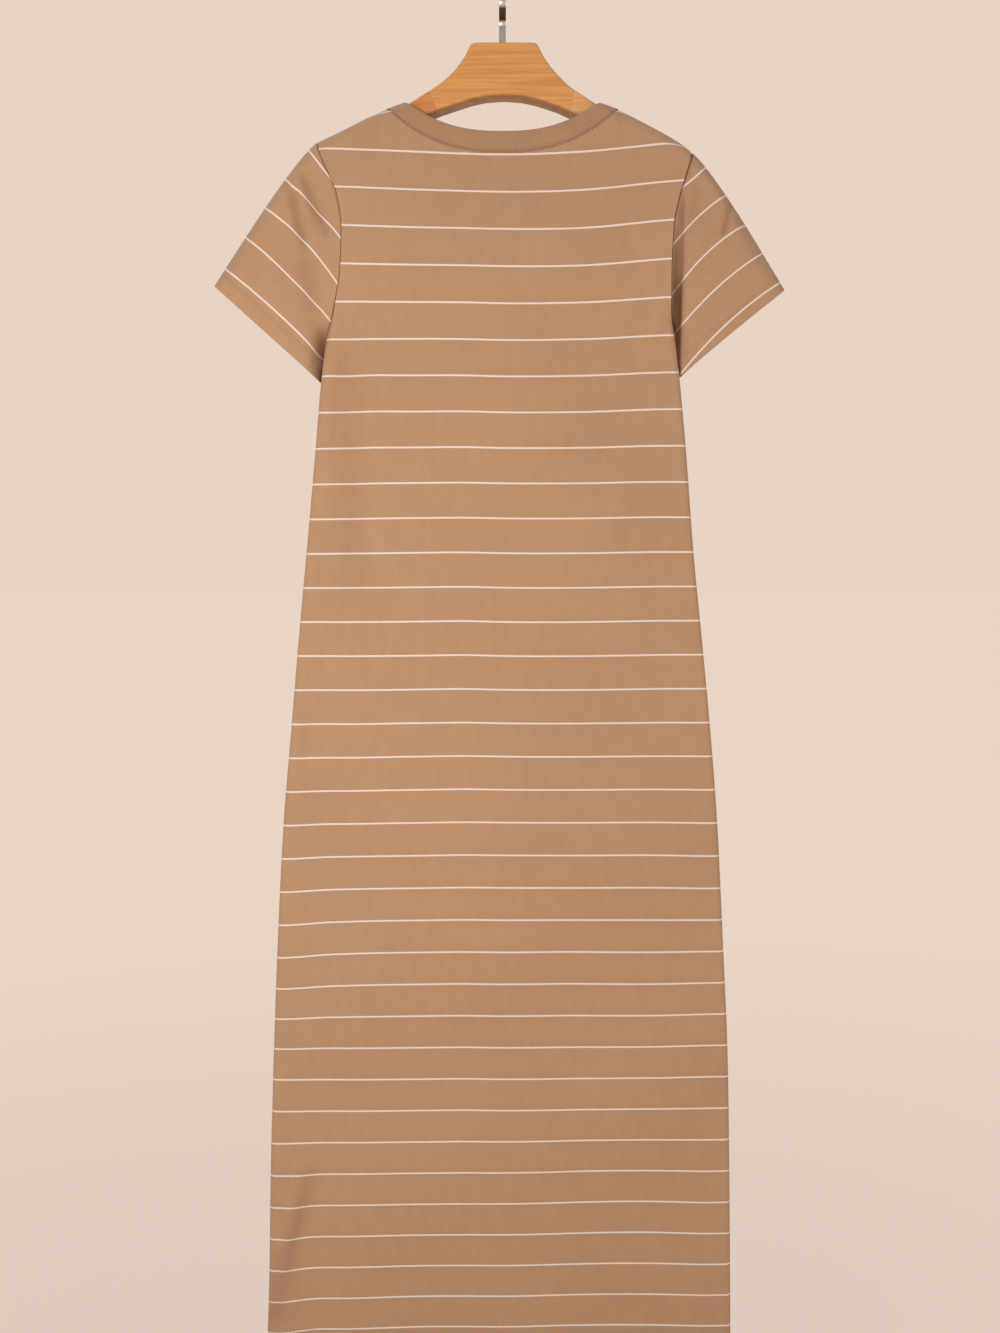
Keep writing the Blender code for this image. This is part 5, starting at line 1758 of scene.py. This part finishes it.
@dataclass
class WoodenHanger:
    """The middle block, the two arms jointed to it, and the flat hook."""

    body: BodyForm
    height_joint: float = 0.0233
    height_tip: float = 0.0215
    low_edge: float = 0.0060
    arm_level: float = 0.004
    round_x: float = 0.1770
    tip_share: float = 0.40
    joint_slant: float = 0.0066
    slant_reach: float = 0.022
    joint_gap: float = 0.00012
    corner_steps: int = 6
    arm_stations: int = 64
    arm_crowding: float = 1.35  # power that draws them together towards the tip
    block_points: int = 72  # on half of the block's outline
    block_fine: int = 1200  # places that the half's length is measured with

    def __post_init__(self) -> None:
        """Makes the block's curves."""
        self.block_top = table_curve(BLOCK_PROFILE, "top_z")
        self.block_low = table_curve(BLOCK_PROFILE, "low_z")
        self.block_shift = table_curve(BLOCK_PROFILE, "shift")

    def top_z(self, hand: Hand, out: Array) -> Array:
        """Top of the wood: the block's, then the line to the cloth, then just under it."""
        body = self.body
        band = body.band_ridge_half - self.arm_level
        joint = body.hanger.joint_x
        under = body.ridge_z(hand * np.maximum(out, band)) - body.cover(out)
        line = mix(BLOCK_PROFILE[-1].top_z, under, (out - joint) / (band - joint))
        return np.where(out < joint, self.block_top(out), np.where(out < band, line, under))

    def low_z(self, hand: Hand, out: Array) -> Array:
        """Lower edge of the wood."""
        height = mix(self.height_joint, self.height_tip, self.body.hanger.share(out))
        arm = self.top_z(hand, out) - height
        return np.where(out < self.body.hanger.joint_x, self.block_low(out), arm)

    def slant(self, out: Array, level: Array) -> Array:
        """How far towards the middle the slanted joint draws a place.

        Args:
            out: Distance from the middle.
            level: 0 at the lower edge of the wood and 1 at its top.

        Returns:
            The shift.
        """
        joint = self.body.hanger.joint_x
        near = smooth(1 - np.abs(out - joint) / self.slant_reach)
        return self.joint_slant * (1 - level) * near

    def build_block(self) -> Piece:
        """The middle block: its outline with rounded front and back edges."""
        hanger = self.body.hanger
        fine = np.linspace(0.0, hanger.joint_x, self.block_fine)
        steps = np.hypot(np.diff(fine), np.diff(self.block_top(fine)))
        lengths = np.concatenate([[0.0], np.cumsum(steps)])
        out = np.interp(np.linspace(0.0, lengths[-1], self.block_points), lengths, fine)
        x = np.concatenate([-out[:0:-1], out])
        shift = self.block_shift(np.abs(x))
        top = np.stack([x + shift, self.block_top(np.abs(x))], axis=1)
        drawn = np.abs(x) - self.slant(np.abs(x), np.zeros_like(x))
        low = np.stack([np.sign(x) * drawn + shift, self.block_low(drawn)], axis=1)
        rings = []
        edge, depth = hanger.edge, hanger.half_depth
        angles = np.linspace(0.0, QUARTER_TURN, self.corner_steps + 1)
        for side in (-1, 1):
            for angle in angles if side < 0 else angles[::-1]:
                inset = edge * (1 - math.sin(angle))
                y = side * (depth - edge * (1 - math.cos(angle)))
                rings.append((inset, y))
        rows = []
        for inset, y in rings:
            upper = self.inset_line(top, inset, -1)
            lower = self.inset_line(low, inset, 1)
            rows.append(np.insert(np.concatenate([upper, lower[::-1]]), 1, y, axis=1))
        grid = np.array(rows)
        count, size = grid.shape[:2]
        faces = grid_faces(count, size, True, False)
        half = size // 2
        for start in (0, (count - 1) * size):
            for k in range(half - 1):
                other = size - 1 - k
                faces.append((start + k, start + k + 1, start + other - 1, start + other))
        piece = make_piece("block", grid.reshape(-1, 3), faces, WOOD_SHARP)
        # painted shade on the block's underside, growing over its rounded lower edges
        underside_shade = np.array([1 - inset / edge for inset, _ in rings])
        add_painted_shade(piece, np.outer(underside_shade, np.arange(size) >= half))
        return piece

    def inset_line(self, line: Array, inset: float, way: int) -> Array:
        """A line of the outline, moved into the wood. Its two ends move along the joint.

        Args:
            line: The line's points in X and Z.
            inset: How far it moves.
            way: -1 if the wood lies below it, and 1 if above.

        Returns:
            The moved line.
        """
        along = unit(np.gradient(line, axis=0))
        into = np.stack([-along[:, 1], along[:, 0]], axis=1) * way
        lean = self.joint_slant / self.height_joint
        into[0] = (-lean * way, way)
        into[-1] = (lean * way, way)
        return line + into * inset

    def build_arm(self, hand: Hand) -> Piece:
        """One arm, from its joint to its rounded tip.

        Args:
            hand: Which arm.

        Returns:
            The piece.
        """
        hanger = self.body.hanger
        start = hanger.joint_x + self.joint_gap
        spread = np.linspace(0.0, 1.0, self.arm_stations)
        outs = mix(start, hanger.tip_x, crowded(spread, self.arm_crowding))
        rings = [self.arm_ring(hand, float(out)) for out in outs]
        piece = capped_tube(f"arm_{hand.name.lower()}", rings, WOOD_SHARP)
        quarter = np.linspace(0.0, QUARTER_TURN, self.corner_steps + 1)
        angles = np.concatenate([quarter + QUARTER_TURN * turn for turn, _, _ in CORNERS])
        # painted shade on the arm's underside
        add_painted_shade(piece, np.tile(np.maximum(-np.sin(angles), 0.0), len(rings)))
        return piece

    def arm_ring(self, hand: Hand, out: float) -> Array:
        """One section of an arm: a rectangle with rounded corners, slanted at the joint."""
        hanger = self.body.hanger
        top = float(self.top_z(hand, np.array(out)))
        low = float(self.low_z(hand, np.array(out)))
        depth = float(hanger.depth_at(out))
        edge = float(hanger.edge_at(out))
        low_edge = float(mix(hanger.edge, self.low_edge, smooth(hanger.share(out) / hanger.edge_share)))
        if out > self.round_x:
            rounding = (out - self.round_x) / (hanger.tip_x - self.round_x)
            shrink = mix(self.tip_share, 1.0, math.sqrt(max(1 - rounding**2, 0.0)))
            middle, height = (top + low) / 2, (top - low) * shrink
            top, low = middle + height / 2, middle - height / 2
            depth, edge, low_edge = depth * shrink, edge * shrink, low_edge * shrink
        ring = []
        for turn, side, up in CORNERS:
            radius = edge if up > 0 else low_edge
            z_middle = top - edge if up > 0 else low + low_edge
            for k in range(self.corner_steps + 1):
                angle = QUARTER_TURN * (turn + k / self.corner_steps)
                y = side * (depth - radius) + radius * math.cos(angle)
                z = z_middle + radius * math.sin(angle)
                level = (z - low) / (top - low)
                drawn = out - float(self.slant(out, level))
                at = np.array(drawn)
                shifted = float(mix(self.low_z(hand, at), self.top_z(hand, at), level))
                z = shifted if out < self.round_x else z
                ring.append((hand * drawn, float(hanger.line_at(drawn)) + y, z))
        return np.array(ring)


@dataclass
class Hook:
    """The flat steel hook: a stem that jogs back, and a bend over the rail."""

    foot_z: float = -0.0700
    width: float = 0.0070
    thickness: float = 0.0022
    inner_radius: float = 0.0160
    jog_low_z: float = -0.0475
    jog_high_z: float = -0.0345
    bend: float = 0.0045
    tip_angle: float = -32.0
    tip_length: float = 0.006
    tip_lean: float = 0.25  # in Y for each 1 down, past the bend
    edge: float = 0.0005
    arc_points: int = 54
    bend_points: int = 9
    edge_points: int = 4
    # the jog's shade is a painted dark reflection
    shade_margin: float = 0.06  # part of the jog's height without shade, at each end
    shade_ends: float = 0.16  # part of it over which the shade starts, and ends

    def line(self) -> list[Vector]:
        """The middle of the strip in the plane across the hanger, as Y and Z."""
        radius = self.inner_radius + self.thickness / 2
        foot = Vector((0.0, self.foot_z))
        jog_low = Vector((0.0, self.jog_low_z))
        jog_high = Vector((-radius, self.jog_high_z))
        arc_start = Vector((-radius, -self.inner_radius))
        line = [foot, *self.soft_corner(foot, jog_low, jog_high)]
        line += self.soft_corner(jog_low, jog_high, arc_start)
        for degrees in np.linspace(180.0, self.tip_angle, self.arc_points):
            angle = math.radians(degrees)
            line.append(Vector((radius * math.cos(angle), radius * math.sin(angle) - self.inner_radius)))
        line.append(line[-1] + Vector((self.tip_lean, -1.0)).normalized() * self.tip_length)
        return line

    def soft_corner(self, before: Vector, corner: Vector, after: Vector) -> list[Vector]:
        """Points of a soft bend in place of a corner."""
        start = corner + (before - corner).normalized() * self.bend
        end = corner + (after - corner).normalized() * self.bend
        shares = np.linspace(0.0, 1.0, self.bend_points)
        return [start * (1 - t) ** 2 + corner * 2 * t * (1 - t) + end * t**2 for t in shares]

    def build(self) -> Piece:
        """Makes the hook."""
        line = self.line()
        half_x = self.width / 2
        half_t = self.thickness / 2
        section = []
        for turn, x_way, t_way in CORNERS:
            for k in range(self.edge_points):
                angle = QUARTER_TURN * (turn + k / (self.edge_points - 1))
                across = x_way * (half_x - self.edge) + self.edge * math.cos(angle)
                thick = t_way * (half_t - self.edge) + self.edge * math.sin(angle)
                section.append((across, thick))
        rings = []
        for i, point in enumerate(line):
            along = (line[min(i + 1, len(line) - 1)] - line[max(i - 1, 0)]).normalized()
            across = Vector((-along.y, along.x))
            rings.append([(x, point.x + across.x * t, point.y + across.y * t) for x, t in section])
        piece = capped_tube("steel_hook", rings, STEEL_SHARP)
        # painted dark reflection along the jog, fading at both ends
        risen = np.array([point.y for point in line]) - self.jog_low_z
        height = risen / (self.jog_high_z - self.jog_low_z)
        starts = smooth((height - self.shade_margin) / self.shade_ends)
        stops = smooth((1 - self.shade_margin - height) / self.shade_ends)
        add_painted_shade(piece, np.repeat(starts * stops, len(section)))
        return piece


# ---- Putting the object together -------------------------------------------------------------------
class Flat(NamedTuple):
    """How a piece of cloth was cut: width and length, and its area where it isn't a rectangle."""

    width: float
    length: float
    area: float | None


class HangingDress:
    """The dress and its hanger, each piece in place of its solid."""

    panel_cut = {Side.BACK: Flat(0.504, 1.290, 0.545), Side.FRONT: Flat(0.504, 1.290, 0.535)}
    sleeve_cut = Flat(0.450, 0.175, 0.038)
    band_cut = Flat(0.580, 0.0178, None)

    def __init__(self, finishes: Finishes) -> None:
        """Sets up the forms that the pieces share.

        Args:
            finishes: The object's finishes.
        """
        self.finishes = finishes
        self.form = BodyForm()
        self.jersey = Jersey()
        self.cuff_jersey = Jersey(
            hem_depth=0.0166, stitch_low=0.0132, stitch_high=0.0155, hem_rows=(0.0045, 0.0085)
        )
        self.stripes = Stripes(self.form)
        self.sewing = Sewing()

    def keep(self, piece: Piece, finish: Material, node: str | None = None) -> None:
        """Dresses a piece and ties it to the frame.

        Args:
            piece: The piece.
            finish: Its material.
            node: The solid that it stands for.
        """
        piece.data.materials.clear()
        piece.data.materials.append(finish)
        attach(piece, "root")
        if node:
            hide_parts(node)
        LOG.info("%s: %d faces", piece.name, len(piece.data.polygons))

    def build(self) -> None:
        """Makes every piece."""
        arms = self.build_hanger()
        holes = {}
        for side in Side:
            panel = Panel(side, self.form, self.jersey, self.stripes)
            cloth = panel.sheeting()
            holes[side] = {hand: panel.armhole(cloth, hand) for hand in Hand}
            self.finish_panel(panel, cloth)
        self.build_neckband()
        for sleeve in (left_sleeve(), right_sleeve()):
            self.build_sleeve(sleeve, holes)

    def finish_panel(self, panel: Panel, cloth: Sheeting) -> None:
        """Makes one panel with its stitches.

        Args:
            panel: The panel.
            cloth: Its cloth.
        """
        name = panel.side.name.lower()
        piece = cloth.shell(f"{name}_cloth")
        self.keep(piece, self.finishes.jersey, f"{name}_panel")
        thread, runs = self.finishes.hem_thread, panel.hem_runs(cloth)
        hem = self.sewing.sew(f"hem_stitches_{name}", runs, StitchKind.HEM, thread)
        self.keep(hem, thread)
        thread, runs = self.finishes.neck_thread, [panel.neck_run(cloth)]
        neck = self.sewing.sew(f"neck_stitches_{name}", runs, StitchKind.NECK, thread)
        self.keep(neck, thread)

    def build_neckband(self) -> None:
        """Makes the neckband with its stitches."""
        band, run = Neckband(self.form, self.jersey).build()
        self.keep(band, self.finishes.band, "neckband")
        thread = self.finishes.hem_thread
        stitches = self.sewing.sew("neckband_stitches", [run], StitchKind.NECK, thread)
        self.keep(stitches, thread)

    def build_sleeve(
        self, sleeve: Sleeve, holes: dict[Side, dict[Hand, Array]]
    ) -> None:
        """Makes one sleeve with its stitches.

        Args:
            sleeve: The sleeve.
            holes: The armholes' seam lines.
        """
        backs = holes[Side.BACK][sleeve.hand]
        fronts = holes[Side.FRONT][sleeve.hand]
        cloth = sleeve.sheeting(backs, fronts, self.cuff_jersey)
        piece = cloth.shell(f"{sleeve.name}_cloth")
        self.keep(piece, self.finishes.jersey, sleeve.name)
        thread, runs = self.finishes.hem_thread, sleeve.cuff_runs(cloth)
        name = f"cuff_stitches_{sleeve.hand.name.lower()}"
        stitches = self.sewing.sew(name, runs, StitchKind.HEM, thread)
        self.keep(stitches, thread)

    def build_hanger(self) -> list[Piece]:
        """Makes the hanger and its hook.

        Returns:
            The two arms.
        """
        hanger = WoodenHanger(self.form)
        block = hanger.build_block()
        self.keep(block, self.finishes.wood, "hanger_block")
        arms = []
        for hand, wood in ((Hand.LEFT, self.finishes.left_wood), (Hand.RIGHT, self.finishes.right_wood)):
            arm = hanger.build_arm(hand)
            self.keep(arm, wood, f"hanger_{arm.name}")
            arms.append(arm)
        self.keep(Hook().build(), self.finishes.steel, "hook")
        return arms


class Lamp(NamedTuple):
    """A soft square light: where it stands, what it looks at, its side, power and colour."""

    name: str
    place: Place
    target: Place
    side: float
    power: float
    colour: Colour


@dataclass
class Studio:
    """The floor, the light and the camera."""

    floor_z: float = -1.62
    floor_half: float = 40.0
    wall_colour: Colour = (0.807, 0.658, 0.558)
    floor_albedo: float = 0.16  # of the wall's colour
    # the floor's glow near the dress, dimmer as a painted soft shadow
    near_glow_painted_shadow: float = 0.78
    far_glow: float = 0.955
    glow_from: float = 0.2
    glow_to: float = 3.0
    room_light: Colour = (0.33, 0.34, 0.34)
    mirrored_light: Colour = (0.50, 0.49, 0.44)
    lamps: tuple[Lamp, ...] = (
        Lamp("key", (-0.58, -1.18, -0.63), (0.0, 0.0, -0.60), 0.7, 11.2, (0.99, 1.0, 1.0)),
        Lamp("side", (1.50, -0.70, -0.70), (0.0, 0.0, -0.70), 1.0, 5.6, (0.99, 1.0, 1.0)),
        Lamp("fill", (0.55, 1.45, 0.20), (0.0, 0.0, -0.66), 0.9, 13.0, (0.99, 1.0, 1.0)),
        Lamp("top", (-0.20, 0.08, 0.95), (0.0, 0.0, -0.30), 1.0, 7.0, (1.0, 1.0, 1.0)),
    )
    camera_place: Place = (-0.0024907, -1.6, -0.5681618)
    camera_slope: float = 0.075
    lens: float = 42.35
    sensor_width: float = 36.0
    clip_end: float = 200.0

    def build(self) -> None:
        """Makes the studio."""
        bpy.context.scene.view_settings.view_transform = "Standard"
        self.build_world()
        self.build_floor()
        for lamp in self.lamps:
            self.build_lamp(lamp)
        camera = bpy.data.cameras.new("camera")
        camera.lens = self.lens
        camera.sensor_width = self.sensor_width
        camera.clip_end = self.clip_end
        viewer = bpy.data.objects.new("camera", camera)
        viewer.location = self.camera_place
        viewer.rotation_euler = (QUARTER_TURN - math.atan(self.camera_slope), 0.0, 0.0)
        bpy.context.scene.collection.objects.link(viewer)
        bpy.context.scene.camera = viewer

    def build_lamp(self, lamp: Lamp) -> None:
        """A soft light that doesn't show itself."""
        data = bpy.data.lights.new(lamp.name, "AREA")
        data.size = lamp.side
        data.energy = lamp.power
        data.color = lamp.colour
        light = bpy.data.objects.new(lamp.name, data)
        light.location = lamp.place
        way = Vector(lamp.target) - Vector(lamp.place)
        light.rotation_euler = way.to_track_quat("-Z", "Y").to_euler()
        light.visible_camera = False
        bpy.context.scene.collection.objects.link(light)

    def build_world(self) -> None:
        """Even light from all round, in front of a warm pale background."""
        world = bpy.data.worlds.new("studio")
        world.use_nodes = True
        tree = world.node_tree
        result = tree.nodes["Background"]
        result.inputs["Color"].default_value = (*self.room_light, 1.0)
        paths = tree.nodes.new("ShaderNodeLightPath")
        for ray, colour in (("Is Glossy Ray", self.mirrored_light), ("Is Camera Ray", self.wall_colour)):
            seen = tree.nodes.new("ShaderNodeBackground")
            seen.inputs["Color"].default_value = (*colour, 1.0)
            chosen = tree.nodes.new("ShaderNodeMixShader")
            tree.links.new(paths.outputs[ray], chosen.inputs[0])
            tree.links.new(result.outputs[0], chosen.inputs[1])
            tree.links.new(seen.outputs[0], chosen.inputs[2])
            result = chosen
        tree.links.new(result.outputs[0], tree.nodes["World Output"].inputs["Surface"])
        bpy.context.scene.world = world

    def build_floor(self) -> None:
        """A plain pale floor, whose far end runs into the background. Its glow is dimmer near the
        dress: a painted soft shadow.
        """
        tree = FinishTree("floor")
        x, y, _ = tree.parts(tree.place())
        away = (x * x + y * y) ** 0.5
        shares = (self.near_glow_painted_shadow, self.far_glow, self.floor_albedo)
        near, far, pale = (tuple(share * c for c in self.wall_colour) for share in shares)
        # the emission is dimmer near the dress: a painted soft shadow on the floor
        tree.dress(
            Base_Color=(*pale, 1.0),
            Roughness=0.95,
            Specular_IOR_Level=0.0,
            Emission_Color=tree.blend(away.step(self.glow_from, self.glow_to), near, far),
            Emission_Strength=1.0,
        )
        half = self.floor_half
        mesh = bpy.data.meshes.new("floor")
        corners = [(-half, -half, self.floor_z), (half, -half, self.floor_z)]
        corners += [(half, half, self.floor_z), (-half, half, self.floor_z)]
        mesh.from_pydata(corners, [], [(0, 1, 2, 3)])
        mesh.materials.append(tree.material)
        floor = bpy.data.objects.new("floor", mesh)
        bpy.context.scene.collection.objects.link(floor)


def main() -> None:
    """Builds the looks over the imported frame."""
    logging.basicConfig(level=logging.INFO, format="%(message)s")
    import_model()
    HangingDress(Finishes()).build()
    Studio().build()


if __name__ == "__main__":
    main()
